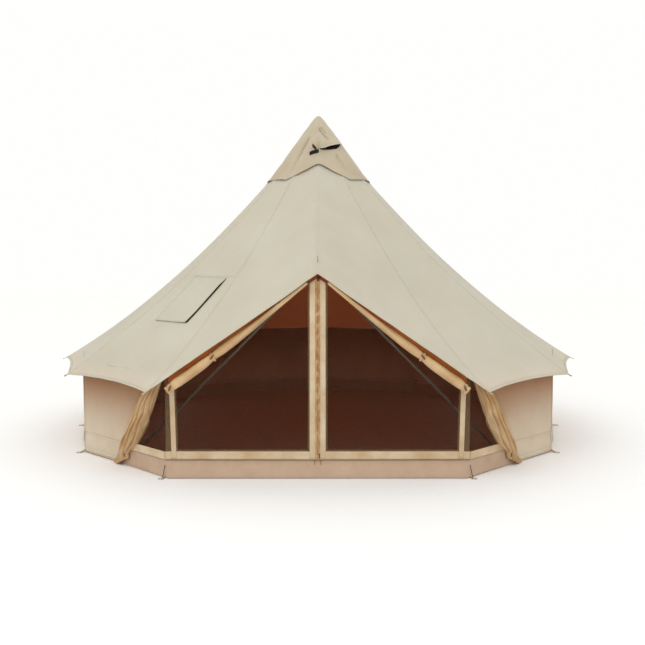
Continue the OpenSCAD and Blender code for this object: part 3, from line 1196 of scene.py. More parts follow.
@dataclass
class Walls:
    """The low wall, from one edge of the door opening round to the other."""

    columns: int = 16
    rows: int = 16
    margin_columns: int = 3
    sill_rows: int = 6
    window_rows: int = 6
    window_w: float = 0.530
    window_h: float = 0.300
    sill_z: float = 0.370
    cut_top: float = 0.150
    cut_foot: float = 0.744
    foot_z: float = 0.012
    corner_dip: float = 0.026
    top_tuck: float = 0.009
    cloth_t: float = 0.0015
    window_sides: tuple[int, ...] = (2, 4, 7, 9)
    hem_rows: tuple[tuple[float, float], ...] = ((0.0, 0.9), (2.7, 3.3))

    def across(self, step: float) -> float:
        """Turns a column of a side into a distance from the side's first corner."""
        edge = (PLAN.side_w - self.window_w) / 2
        middle = self.columns - 2 * self.margin_columns
        if step <= self.margin_columns:
            return edge * step / self.margin_columns
        if step <= self.margin_columns + middle:
            return edge + self.window_w * (step - self.margin_columns) / middle
        rest = step - self.margin_columns - middle
        return edge + self.window_w + edge * rest / self.margin_columns

    def up(self, row: float) -> float:
        """Turns a row into a height."""
        if row <= self.sill_rows:
            return self.sill_z * row / self.sill_rows
        if row <= self.sill_rows + self.window_rows:
            return self.sill_z + self.window_h * (row - self.sill_rows) / self.window_rows
        top = self.sill_z + self.window_h
        left = self.rows - self.sill_rows - self.window_rows
        return top + (PLAN.wall_h + self.top_tuck - top) * (row - self.sill_rows - self.window_rows) / left

    def cut(self, height: float) -> float:
        """Gives where the front panel's slanting edge is at a height."""
        return mix(self.cut_foot, self.cut_top, height / PLAN.wall_h)

    def point(self, side: float, step: float, row: float, lift: float = 0.0) -> Vector:
        """Gives a point of the wall.

        Args:
            side: the side, 1 at the right of the door to 10 at its left.
            step: the column in the side.
            row: the row from the ground.
            lift: distance outwards.

        Returns:
            The point.
        """
        along, height = self.across(step), self.up(row)
        if side == 1:
            start = self.cut(height)
            along = start + (PLAN.side_w - start) * along / PLAN.side_w
        if side == 10:
            end = PLAN.side_w - self.cut(height)
            along = end * along / PLAN.side_w
        share = height / PLAN.wall_h
        corner = min(abs(side + along / PLAN.side_w - c) for c in (2, 10))
        height *= 1 - self.corner_dip * math.exp(-((corner / 0.3) ** 2))
        taut = 0.25 if side in self.window_sides else 1.0
        belly = 0.018 * taut * hump(along / PLAN.side_w) * math.sin(math.pi * share)
        fold = 0.006 * taut * ripple(Vector((side * 3 + along, height * 0.35, 0)), 0.16)
        hold = smooth_step(share * 6) * smooth_step((1 - share) * 8)
        seam = -0.006 * math.exp(-(((height - 0.165) / 0.02) ** 2))
        return PLAN.on_side(
            side + 0.5, along - PLAN.side_w / 2, max(self.foot_z, height),
            lift + (belly + fold) * hold + seam * hold,
        )

    def canvas(self) -> bpy.types.Object:
        """Builds the wall's cloth with its four window holes.

        Returns:
            The piece.
        """
        total = 10 * self.columns

        def split(u: float) -> tuple[int, float]:
            """Turns a share round the wall into a side and a column."""
            place = u * total
            side = min(9, int(place // self.columns + 1e-6))
            return side + 1, place - side * self.columns

        def around(u: float, v: float) -> Vector:
            """Runs round the wall."""
            side, step = split(u)
            return self.point(side, step, v * self.rows)

        def keep(u: float, v: float) -> bool:
            """Leaves the windows out."""
            side, step = split(u)
            row = v * self.rows
            inside = self.margin_columns < step < self.columns - self.margin_columns
            level = self.sill_rows < row < self.sill_rows + self.window_rows
            return not (side in self.window_sides and inside and level)

        bm = cloth(total, self.rows, around, (10 * PLAN.side_w, PLAN.wall_h), keep)
        turn_outwards(bm, Vector((0, 0, 0.4)))
        names = [f"wall_window_{end}_{side}" for end in ("front", "rear") for side in ("right", "left")]
        return piece(
            bm, "wall_canvas", WALL_CANVAS, thickness=self.cloth_t,
            stands_for=[*names, "wall_panels_plain", "wall_front_right", "wall_front_left"],
        )

    def trims(self) -> bpy.types.Object:
        """Builds the corner seams, the foot hem, a seam band low on the wall and the window bindings.

        Returns:
            The piece.
        """
        parts = []
        for side in range(1, 11):
            for low, high in self.hem_rows:
                parts.append(cloth(
                    self.columns, 1,
                    lambda u, v, s=side, a=low, b=high: self.point(
                        s, u * self.columns, mix(a, b, v), 0.002),
                    (PLAN.side_w, 0.05),
                ))
            if side < 10:
                parts.append(cloth(
                    2, self.rows,
                    lambda u, v, s=side: self.point(
                        s if u < 0.5 else s + 1,
                        self.columns - 0.12 * (0.5 - u) * 2 if u < 0.5 else 0.12 * (u - 0.5) * 2,
                        v * self.rows, 0.002),
                    (0.02, PLAN.wall_h),
                ))
            if side in self.window_sides:
                parts += self.binding(side)
        bm = joined(parts)
        turn_outwards(bm, Vector((0, 0, 0.4)))
        return piece(bm, "wall_trims", WALL_CANVAS, thickness=self.cloth_t)

    def binding(self, side: int) -> list[bmesh.types.BMesh]:
        """Builds the four strips round a window.

        Args:
            side: the side that holds the window.

        Returns:
            The strips.
        """
        left, right = self.margin_columns, self.columns - self.margin_columns
        low, high = self.sill_rows, self.sill_rows + self.window_rows
        wide, tall = 0.5, 0.4
        spans = (
            (left - wide, right + wide, low - tall, low), (left - wide, right + wide, high, high + tall),
            (left - wide, left, low, high), (right, right + wide, low, high),
        )
        return [
            cloth(
                8, 6,
                lambda u, v, s=span: self.point(side, mix(s[0], s[1], u), mix(s[2], s[3], v), 0.0025),
                (0.5, 0.3),
            )
            for span in spans
        ]

    def nets(self) -> bpy.types.Object:
        """Builds the four window nets.

        Returns:
            The piece.
        """
        left, right = self.margin_columns, self.columns - self.margin_columns
        low, high = self.sill_rows, self.sill_rows + self.window_rows
        parts = [
            cloth(
                10, 6,
                lambda u, v, s=side: self.point(
                    s, mix(left - 0.2, right + 0.2, u), mix(low - 0.2, high + 0.2, v), -0.004),
                (self.window_w, self.window_h),
            )
            for side in self.window_sides
        ]
        bm = joined(parts)
        turn_outwards(bm, Vector((0, 0, 0.4)))
        made = piece(bm, "window_nets", INSECT_NET, stands_for=["window_meshes"])
        return made

    def covers(self) -> None:
        """Builds the four window covers, hanging outside from the sill."""
        width, height, hinge = self.window_w + 0.07, self.window_h + 0.03, self.sill_z - 0.015
        for word, index in (("front_right", 2.5), ("front_left", -2.5),
                            ("rear_right", 4.5), ("rear_left", -4.5)):

            def hang(u: float, v: float, i: float = index) -> Vector:
                """Hangs from the sill with a soft curl at the foot."""
                down = v * height
                curl = 0.008 * v**2 + 0.0012 * math.sin(3.1 * math.pi * u + i) * v
                return PLAN.on_side(i, (u - 0.5) * width, hinge - down, 0.0045 + curl)

            bm = cloth(18, 10, hang, (width, height))
            turn_outwards(bm, Vector((0, 0, 0.2)))
            cover = piece(
                bm, f"window_cover_{word}_canvas", WALL_CANVAS, f"cover_{word}",
                thickness=0.0025, stands_for=[f"window_cover_{word}"],
            )

            def edge(u: float, v: float, i: float = index) -> Vector:
                """Runs the hem along the cover's foot."""
                out = PLAN.on_side(i, 0, 0, 0.002) - PLAN.on_side(i, 0, 0)
                return hang(u, mix(0.9, 0.995, v), i) + out

            hem_bm = cloth(18, 2, edge, (width, 0.03))
            turn_outwards(hem_bm, Vector((0, 0, 0.2)))
            hem = piece(hem_bm, f"window_cover_{word}_hem", WALL_CANVAS, f"cover_{word}",
                        thickness=0.0025)

    def build(self) -> None:
        canvas, trims = self.canvas(), self.trims()
        self.nets()
        self.covers()
        cut = (self.cut_top + self.cut_foot) * PLAN.wall_h
        holes = 4 * self.window_w * self.window_h
        PLAN.wall_h
        10 * PLAN.side_w * PLAN.wall_h - cut - holes


# ---------------------------------------------------------------- canvas door


@dataclass
class CanvasDoor:
    """The canvas door, rolled up under the canopy's edges and gathered at the corners."""

    stations: tuple[tuple[float, float, float, float], ...] = (
        (0.085, -2.085, 1.592, 0.011), (0.410, -2.112, 1.338, 0.024), (0.686, -2.170, 1.116, 0.040),
        (0.956, -2.232, 0.922, 0.044), (1.115, -2.280, 0.806, 0.046), (1.205, -2.315, 0.738, 0.036),
    )
    edge_x: float = 1.364
    ties: tuple[float, ...] = (0.52, 0.93)
    turn_steps: int = 18
    rows: int = 60
    pleats: float = 4.5

    def station(self, share: float) -> tuple[Vector, float]:
        """Gives the right roll's middle and radius at a share along it.

        Args:
            share: 0 under the canopy's apex and 1 beside the corner.

        Returns:
            The middle and the radius, which is pinched at each tie.
        """
        share = min(1.0, max(0.0, share))
        spot = share * (len(self.stations) - 1)
        first = min(len(self.stations) - 2, int(spot))
        steps = [mix(a, b, spot - first) for a, b in zip(self.stations[first], self.stations[first + 1])]
        pinch = 1 - sum(0.24 * math.exp(-(((share - t) / 0.035) ** 2)) for t in self.ties)
        return Vector(steps[:3]), steps[3] * pinch

    def axes(self, share: float) -> tuple[Vector, Vector, Vector]:
        """Gives the roll's direction and the two directions across it."""
        along = (self.station(share + 0.05)[0] - self.station(share - 0.05)[0]).normalized()
        across = along.cross(Vector((0, 1, 0))).normalized()
        return along, across, across.cross(along)

    def roll(self, side: Side) -> bpy.types.Object:
        """Builds the rolled door on one side, as a real spiral of cloth.

        Args:
            side: the half of the tent.

        Returns:
            The piece.
        """
        turns = 9.0

        def spiral(u: float, v: float) -> Vector:
            """Winds from the core outwards, and from the thin end to the thick one."""
            drift = 0.012 * u * ripple(Vector((u * 4, v * 2, 1)), 1.0)
            middle, full = self.station(min(1.0, max(0.0, v + drift)))
            along, across, up = self.axes(v)
            angle = 2 * math.pi * turns * u + 1.4 * v + 0.9
            bulge = 1 + 0.10 * u * math.sin(angle + 7 * v) * ripple(Vector((v * 11, 0, 5)), 1.0)
            radius = mix(0.1, 1.0, u) * full * bulge
            groove = 0.0035 * u * math.cos(3 * angle + 15 * v)
            return middle + (across * math.cos(angle) * 0.92 + up * math.sin(angle)) * (radius + groove)

        place = spiral if side is Side.RIGHT else mirrored(spiral)
        bm = cloth(int(turns * self.turn_steps), self.rows, place, (1.3, 1.4))
        bmesh.ops.recalc_face_normals(bm, faces=bm.faces)
        made = piece(
            bm, f"door_roll_{side.word}_canvas", DOOR_CANVAS, thickness=0.0012,
            stands_for=[f"door_roll_{side.word}"],
        )
        return made

    def head(self, side: Side) -> bpy.types.Object:
        """Builds the door's head, which hangs from the canopy's edge and turns into the roll.

        Args:
            side: the half of the tent.

        Returns:
            The piece.
        """

        def hang(u: float, v: float) -> Vector:
            """Goes from the canopy's underside down to the roll's back."""
            middle, radius = self.station(mix(-0.02, 1.0, v))
            share = min(1.0, max(0.0, middle.x / self.edge_x))
            edge = ROOF.point(share, 0.988, -0.004)
            low = middle + Vector((0.0, 0.004, -0.2 * radius))
            bow = Vector((0, 0.012 * hump(u), 0))
            fold = 0.003 * math.sin(38 * v + 3 * u) * hump(u)
            return edge.lerp(low, u) + bow + Vector((0, fold, 0))

        bm = cloth(8, 60, hang if side is Side.RIGHT else mirrored(hang), (0.10, 1.40))
        turn_outwards(bm, Vector((0, 0, 1.0)))
        # HEAD_CANVAS gives this strip painted shade and painted glow.
        made = piece(bm, f"door_head_{side.word}_canvas", HEAD_CANVAS, thickness=0.0012)
        return made

    def drape_point(self, u: float, v: float) -> Vector:
        """Gives a point of the gathered edge beside the right front corner.

        Args:
            u: share across, 0 at the inner edge.
            v: share down, 0 under the eave.

        Returns:
            The point.
        """
        ease = v**1.15
        inner = mix(0.012, 0.548, ease) - 0.030 * hump(v) * smooth_step(v * 2)
        outer = mix(0.165, 0.778, v**1.05) + 0.012 * hump(v)
        pinch = 1 - 0.38 * math.exp(-(((v - 0.915) / 0.050) ** 2))
        middle = mix(inner, outer, 0.45)
        along = middle + (mix(inner, outer, u) - middle) * pinch
        height = mix(PLAN.wall_h - 0.02 + 0.02 * u, mix(0.060, 0.006, smooth_step(u * 1.6)), v)
        swell = math.sin(math.pi * min(1, v * 0.82 + 0.14)) ** 0.8
        deep = mix(0.006, 0.030, swell) * mix(1.0, 0.5, 1 - pinch)
        wander = 0.9 * ripple(Vector((v * 2.2, u * 0.8, 4)), 1.0)
        wave = math.cos(2 * math.pi * (self.pleats * u + 0.35 * v + wander * 0.35))
        fold = deep * (wave + 0.25 * math.cos(2 * math.pi * (9.5 * u - 1.1 * v)))
        body = 0.030 * math.sin(math.pi * u) * smooth_step(v * 3) * pinch
        crumple = 0.008 * ripple(Vector((u * 4, v * 5, 0)), 0.6)
        return PLAN.on_side(1.5, along - PLAN.side_w / 2, height, 0.012 + fold + body + crumple)

    def drape(self, side: Side) -> bpy.types.Object:
        """Builds the gathered edge on one side.

        Args:
            side: the half of the tent.

        Returns:
            The piece.
        """
        place = self.drape_point if side is Side.RIGHT else mirrored(self.drape_point)
        bm = cloth(110, 70, place, (0.50, 0.95))
        turn_outwards(bm, Vector((0, 0, 0.4)))
        made = piece(
            bm, f"door_drape_{side.word}_canvas", DOOR_CANVAS, thickness=0.0015,
            stands_for=[f"door_drape_{side.word}"],
        )
        return made

    def toggle(self, at: Vector, lean: float, side: Side) -> tuple[bmesh.types.BMesh, bmesh.types.BMesh]:
        """Builds one turned toggle and its cord.

        Args:
            at: the toggle's middle, on the right half.
            lean: how far it leans from upright, in degrees.
            side: the half of the tent.

        Returns:
            The toggle and the cord.
        """
        length, radius = 0.042, 0.0065
        flip = side.value
        spot = Vector((flip * at.x, at.y, at.z))
        turn = Matrix.Translation(spot) @ Matrix.Rotation(math.radians(flip * lean), 4, "Y")
        bm = bmesh.new()
        bm.loops.layers.uv.new("Cut")
        bmesh.ops.create_cone(
            bm, cap_ends=True, segments=16, radius1=radius * 0.8, radius2=radius * 0.8,
            depth=length, matrix=turn,
        )
        ends = [f for f in bm.faces if len(f.verts) > 4]
        bmesh.ops.inset_region(bm, faces=ends, thickness=0.002, depth=0.003)
        waist = [e for e in bm.edges if e.calc_length() > length * 0.9]
        bmesh.ops.subdivide_edges(bm, edges=waist, cuts=3)
        for vert in bm.verts:
            local = turn.inverted() @ vert.co
            groove = 0.35 * math.exp(-((local.z / 0.004) ** 2))
            local.x *= 1.25 - groove
            local.y *= 1.25 - groove
            vert.co = turn @ local
        ring = [
            turn @ Vector((math.cos(a) * (radius + 0.001), math.sin(a) * (radius + 0.001), 0))
            for a in (2 * math.pi * k / 12 for k in range(12))
        ]
        return bm, tube(ring, 0.0016, 6, closed=True)

    def fasten(self) -> None:
        """Builds the toggles with their cords, and the tape bands round each bundle."""
        woods, cords, bands = [], [], []
        for side in Side:
            for share, lean in zip(self.ties, (-35.0, -20.0)):
                middle, radius = self.station(share)
                along, across, up = self.axes(share)
                reach = radius * 1.12 + 0.003
                front = middle + Vector((0.0, -reach - 0.009, 0.006))
                wood, cord = self.toggle(front, lean, side)
                woods.append(wood)
                cords.append(cord)

                def around(u: float, v: float, m=middle, a=along, c=across, w=up, r=reach) -> Vector:
                    """Runs round the roll."""
                    angle = 2 * math.pi * u
                    return m + a * (v - 0.5) * 0.018 + (c * math.cos(angle) + w * math.sin(angle)) * r

                place = around if side is Side.RIGHT else mirrored(around)
                bands.append(cloth(24, 2, place, (0.25, 0.018), merge=True))
            spot = self.drape_point(0.25, 0.915)
            low = spot + PLAN.on_side(1.5, 0, 0, 0.026) - PLAN.on_side(1.5, 0, 0)
            wood, cord = self.toggle(low, 12.0, side)
            woods.append(wood)
            cords.append(cord)
        piece(joined(woods), "door_toggles_beech", BEECH, stands_for=["door_toggles"])
        piece(joined(cords), "door_toggle_cords", ELASTIC)
        made = joined(bands)
        bmesh.ops.recalc_face_normals(made, faces=made.faces)
        piece(made, "door_tie_tapes", DOOR_CANVAS, thickness=0.0012)

    def build(self) -> None:
        """Builds both sides."""
        for side in Side:
            self.roll(side)
            self.head(side)
            self.drape(side)
        self.fasten()


# ---------------------------------------------------------------- mesh door


@dataclass
class MeshDoor:
    """The two net leaves with their tapes, zips and sliders, and the nets round the corners."""

    band_side: float = 0.040
    band_foot: float = 0.068
    band_centre: float = 0.066
    zip_w: float = 0.038
    foot_z: float = 0.148
    edge_w: float = 0.016
    fold_w: float = 0.030
    corner_net_w: float = 0.534
    tooth_pitch: float = 0.006
    side_foot_x: float = 1.178
    side_lean: float = 0.016

    @property
    def top(self) -> Vector:
        """The door's top point."""
        return Vector(PLAN.mesh_top)

    @property
    def outer(self) -> Vector:
        """The lower outer corner of the right leaf."""
        return Vector((PLAN.leaf_w, -PLAN.front_y + 0.005, self.foot_z))

    def band_x(self, share: float) -> float:
        """Gives how far out the side band's middle is, at a share up it."""
        return self.side_foot_x + self.side_lean * share

    def leaf_y(self, x: float, z: float) -> float:
        """Gives the leaf's Y at a place on the right half, on either side of its fold."""
        rise = (z - self.foot_z) / (self.top.z - self.foot_z)
        inner = mix(-PLAN.front_y, self.top.y, rise)
        out = min(1.0, abs(x) / (PLAN.floor_r / 2))
        fixed = mix(self.top.y, -PLAN.front_y + 0.001, out)
        fold_x = PLAN.leaf_w * (1 - rise)
        lean = smooth_step((abs(x) - fold_x) / 0.04 + 0.5)
        inner += 0.005 * out * (1 - rise)
        return mix(inner, fixed, lean)

    def face(self, x: float, z: float, out: float = 0.0) -> Vector:
        """Gives a point on the right half of the door, out towards the viewer."""
        return Vector((x, self.leaf_y(x, z) - out, z))

    def roof_line(self, x: float) -> float:
        """Gives the height at which the door meets the canopy at a distance from the middle."""
        return mix(self.top.z, PLAN.wall_h - 0.006, x / (PLAN.floor_r / 2))

    def mirror_if(self, place: Place, side: Side) -> Place:
        """Gives the sheet for a side."""
        return place if side is Side.RIGHT else mirrored(place)

    def blend(self, made: bpy.types.Object) -> None:
        """Bakes the piece's placement into its points.

        Args:
            made: the piece.
        """
        edge = (self.outer - self.top).normalized()
        across = Vector((1, 0, 0)) - edge * edge.x
        across.normalize()
        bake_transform(made)

    def net(self, side: Side) -> bpy.types.Object:
        """Builds one leaf's net, up to the canopy and out to the corner.

        Args:
            side: the leaf's side.

        Returns:
            The piece.
        """

        def over(u: float, v: float) -> Vector:
            """Fills the leaf from its foot to the slanting canopy."""
            x = mix(0.010, PLAN.floor_r / 2 - 0.004, u)
            z = mix(self.foot_z + 0.004, self.roof_line(x), v)
            sway = 0.004 * ripple(Vector((x, 0, z)), 0.4, 7.0)
            return self.face(x, z, -0.004 + sway)

        bm = cloth(56, 64, self.mirror_if(over, side), (1.25, 1.5))
        turn_outwards(bm, Vector((0, 0, 0.8)))
        made = piece(bm, f"mesh_door_{side.word}_net", INSECT_NET, None,
                     stands_for=[f"mesh_leaf_{side.word}", f"mesh_fixed_{side.word}"])
        self.blend(made)
        return made

    def corner_net(self, side: Side) -> bpy.types.Object:
        """Builds the net triangle round the front corner.

        Args:
            side: the half of the tent.

        Returns:
            The piece.
        """

        def over(u: float, v: float) -> Vector:
            """Narrows from the foot to the eave."""
            along = u * mix(self.corner_net_w + 0.04, 0.10, v)
            z = mix(self.foot_z - 0.003, PLAN.wall_h - 0.01, v)
            return PLAN.on_side(1.5, along - PLAN.side_w / 2, z, -0.002)

        bm = cloth(14, 20, self.mirror_if(over, side), (0.55, 0.7))
        turn_outwards(bm, Vector((0, 0, 0.4)))
        made = piece(bm, f"mesh_corner_{side.word}_net", INSECT_NET)
        return made

    def tape(self, name: str, side: Side, rows: int, place: Place, size: tuple[float, float],
             blended: bool) -> bpy.types.Object:
        """Builds one tape band of the door.

        Args:
            name: the band's name.
            side: its side.
            rows: faces along it.
            place: where its points go, on the right half.
            size: its width and length.
            blended: whether it is left off the tent's body and handed to blend, which bakes its placement.

        Returns:
            The piece.
        """
        bm = cloth(6, rows, self.mirror_if(place, side), size)
        turn_outwards(bm, Vector((0, 0, 0.6)))
        made = piece(bm, f"mesh_door_{side.word}_{name}", COTTON_TAPE,
                     None if blended else "tent", thickness=0.0014)
        if blended:
            self.blend(made)
        return made

    def tapes(self, side: Side) -> None:
        """Builds the centre, side, foot and corner bands of one leaf.

        Args:
            side: the leaf's side.
        """
        inner = self.zip_w / 2 - 0.004 if side is Side.RIGHT else 0.006

        def centre(u: float, v: float) -> Vector:
            """Runs up beside the zip."""
            x = mix(inner, self.band_centre, u)
            return self.face(x, mix(self.foot_z, self.roof_line(x) - 0.004, v), 0.004)

        def foot(u: float, v: float) -> Vector:
            """Runs along the door's foot."""
            x = mix(0.006, PLAN.floor_r / 2, v)
            return self.face(x, self.foot_z + self.band_foot * u, 0.003)

        def upright(u: float, v: float) -> Vector:
            """Runs up the door's outer side."""
            x = self.band_x(v) + (u - 0.5) * self.band_side
            return self.face(x, mix(self.foot_z, self.roof_line(x), v), 0.005)

        def corner(u: float, v: float) -> Vector:
            """Carries the foot band round the corner."""
            along = v * (self.corner_net_w + 0.05)
            return PLAN.on_side(
                1.5, along - PLAN.side_w / 2, self.foot_z + self.band_foot * u, 0.003
            )

        self.selvedges(side)
        self.tape("centre_tape", side, 60, centre, (self.band_centre, 1.48), True)
        self.tape("foot_tape", side, 60, foot, (self.band_foot, 1.25), True)
        self.tape("side_tape", side, 20, upright, (self.band_side, 0.74), False)
        self.tape("corner_tape", side, 20, corner, (self.band_foot, 0.585), False)

    def selvedges(self, side: Side) -> None:
        """Builds the net's doubled edges, which show beside each tape.

        Args:
            side: the leaf's side.
        """
        lean = 0.003

        def centre(u: float, v: float) -> Vector:
            """Shows beside the centre tape."""
            x = self.band_centre + (u - 0.1) * self.edge_w
            return self.face(x, mix(self.foot_z, self.roof_line(x) - 0.004, v), lean - 0.001)

        def foot(u: float, v: float) -> Vector:
            """Shows above the foot tape."""
            x = mix(0.006, PLAN.floor_r / 2, v)
            return self.face(x, self.foot_z + self.band_foot + (u - 0.1) * self.edge_w, lean - 0.001)

        def inner(u: float, v: float) -> Vector:
            """Shows inside the side tape."""
            x = self.band_x(v) - self.band_side / 2 - (u - 0.1) * self.edge_w
            return self.face(x, mix(self.foot_z, self.roof_line(x), v), lean)

        def outer(u: float, v: float) -> Vector:
            """Fills the space from the side tape to the corner."""
            x = mix(self.band_x(v) + self.band_side / 2 - 0.004, PLAN.floor_r / 2 - 0.006, u)
            return self.face(x, mix(self.foot_z, self.roof_line(x), v), lean)

        spans = (("centre", centre, self.edge_w, 1.42, True), ("foot", foot, self.edge_w, 1.24, True),
                 ("inner", inner, self.edge_w, 0.70, False), ("outer", outer, 0.045, 0.70, False))
        for name, place, width, length, blended in spans:
            bm = cloth(3, 40, self.mirror_if(place, side), (width, length))
            turn_outwards(bm, Vector((0, 0, 0.6)))
            made = piece(bm, f"mesh_door_{side.word}_{name}_selvedge", SELVEDGE_NET,
                         None if blended else "tent")
            if blended:
                self.blend(made)

    def teeth(self, place: Callable[[float], Vector], length: float, along: Vector) -> bmesh.types.BMesh:
        """Builds a row of zip teeth, coarser than a real coil so that each one shows.

        Args:
            place: gives the middle of the zip at a share along it.
            length: the zip's length.
            along: its direction.

        Returns:
            The teeth.
        """
        bm = bmesh.new()
        bm.loops.layers.uv.new("Cut")
        count = int(length / self.tooth_pitch)
        face_turn = along.to_track_quat("Z", "Y").to_matrix().to_4x4()
        for k in range(count):
            side = -1 if k % 2 else 1
            spot = Matrix.Translation(place((k + 0.5) / count))
            shift = Matrix.Translation((side * 0.0015, 0, 0))
            size = Matrix.Diagonal((0.009, 0.0025, self.tooth_pitch * 0.6, 1))
            bmesh.ops.create_cube(bm, size=1.0, matrix=spot @ face_turn @ shift @ size)
        return bm

    def zips(self) -> None:
        """Builds the three zips: the centre zip's tape, and the teeth of all three."""

        def centre_strip(u: float, v: float) -> Vector:
            """Backs the centre zip."""
            x = (u - 0.5) * self.zip_w
            pucker = 0.0025 * math.sin(2 * math.pi * 15 * v) * hump(u)
            return self.face(x, mix(self.foot_z, self.top.z - 0.03, v), 0.0075 + pucker)

        bm = cloth(6, 180, centre_strip, (self.zip_w, 1.46))
        turn_outwards(bm, Vector((0, 0, 0.6)))
        back = piece(bm, "centre_zip_tape", ZIP_TAPE, None, thickness=0.0012)
        self.blend(back)
        rise = (self.top - Vector((0, -PLAN.front_y, self.foot_z))).normalized()
        bm = self.teeth(
            lambda s: self.face(0, mix(self.foot_z + 0.01, self.top.z - 0.06, s), 0.009), 1.40, rise
        )
        made = piece(bm, "centre_zip_teeth", ZIP_COIL, None, smooth=False)
        self.blend(made)
        for side in Side:
            flip = side.value
            bm = self.teeth(
                lambda s, f=flip: Vector((f * mix(0.004, 1.245, s), -PLAN.front_y - 0.003, 0.1485)),
                1.24, Vector((1, 0, 0)),
            )
            piece(bm, f"foot_zip_{side.word}_teeth", ZIP_COIL, smooth=False)

    def slider(self, at: Vector, body: str, node: str, finish: Finish) -> bpy.types.Object:
        """Builds one zip slider with its bridge and pull tab.

        Args:
            at: the slider's middle.
            body: the body that it rides on.
            node: the CAD node that it replaces.
            finish: its finish.

        Returns:
            The piece.
        """
        bridge = [at + Vector((0, -0.0025 - 0.003 * hump(k / 8), 0.005 - 0.010 * k / 8)) for k in range(9)]
        parts = [
            rounded_box(at, (0.011, 0.005, 0.013), 0.0012),
            tube(bridge, 0.0012, 6),
            rounded_box(at + Vector((0, -0.006, -0.020)), (0.006, 0.0016, 0.026), 0.0006),
        ]
        return piece(joined(parts), f"{node}_enamel", finish, body, stands_for=[node])

    def build(self) -> None:
        """Builds both leaves, the corner nets, the zips and the sliders."""
        for side in Side:
            self.net(side)
            self.corner_net(side)
            self.tapes(side)
        self.zips()
        low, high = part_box("zip_slider_centre")
        self.slider(Vector(((low[0] + high[0]) / 2, high[1] - 0.003, high[2] - 0.007)),
                    "centre_zip", "zip_slider_centre", ZIP_ENAMEL)
        for side in Side:
            low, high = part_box(f"zip_slider_{side.word}")
            middle = Vector(((low[0] + high[0]) / 2, high[1] - 0.003, high[2] - 0.007))
            self.slider(middle, f"{side.word}_zip", f"zip_slider_{side.word}", ZIP_COIL)


# ---------------------------------------------------------------- ground and hardware


@dataclass
class Groundsheet:
    """The coated groundsheet with its upturned rim."""

    inset: float = 0.004
    thickness: float = 0.0012
    fold_r: float = 0.012
    apron: float = 0.045
    tuck: float = 0.025

    def corner(self, index: int, height: float) -> Vector:
        """Gives a corner of the sheet at a height."""
        return polar(PLAN.floor_r - self.inset, index * PLAN.sector, height)

    def build(self) -> bpy.types.Object:
        """Builds the sheet, whose rim is extruded up from its floor.

        Returns:
            The piece.
        """
        bm = bmesh.new()
        layer = bm.loops.layers.uv.new("Cut")
        verts = [bm.verts.new(self.corner(i, 0.0012)) for i in range(1, 12)]
        floor = bm.faces.new(verts)
        rim = bmesh.ops.extrude_edge_only(bm, edges=floor.edges[:])
        raised = [g for g in rim["geom"] if isinstance(g, bmesh.types.BMVert)]
        bmesh.ops.translate(bm, verts=raised, vec=(0, 0, PLAN.rim_h - 0.002))
        fold = floor.edges[:]
        bmesh.ops.bevel(
            bm, geom=fold, offset=self.fold_r, segments=3, affect="EDGES", profile=0.5, material=-1
        )
        uprights = [e for e in bm.edges if abs(e.verts[0].co.z - e.verts[1].co.z) > 0.05]
        bmesh.ops.subdivide_edges(bm, edges=uprights, cuts=5)
        level = [
            e for e in bm.edges
            if e.calc_length() > 0.6 and abs(e.verts[0].co.z - e.verts[1].co.z) < 1e-4
            and e.verts[0].co.z > 0.013
        ]
        bmesh.ops.subdivide_edges(bm, edges=level, cuts=23, use_grid_fill=True)
        for vert in bm.verts:
            out = Vector((vert.co.x, vert.co.y, 0)).normalized()
            share = vert.co.z / PLAN.rim_h
            if share > 0.13:
                vert.co += out * (0.006 * ripple(vert.co, 0.3) - 0.004) * hump(share)
            past = math.hypot(max(0.0, abs(vert.co.x) - PLAN.floor_r / 2), PLAN.front_y + vert.co.y)
            near = smooth_step(1 - past / 0.35) * (1 - smooth_step(share))
            corner = smooth_step(1 - abs(abs(vert.co.x) - PLAN.floor_r / 2) / 0.30)
            vert.co.y -= self.apron * near
            vert.co.x -= math.copysign(self.tuck * near * corner, vert.co.x)
        for face in bm.faces:
            for loop in face.loops:
                loop[layer].uv = (loop.vert.co.x, loop.vert.co.y + loop.vert.co.z)
        turn_outwards(bm, Vector((0, 0, 0.3)))
        made = piece(
            bm, "groundsheet_pvc", GROUNDSHEET, thickness=self.thickness,
            stands_for=["groundsheet_floor", "groundsheet_rim"],
        )
        return made


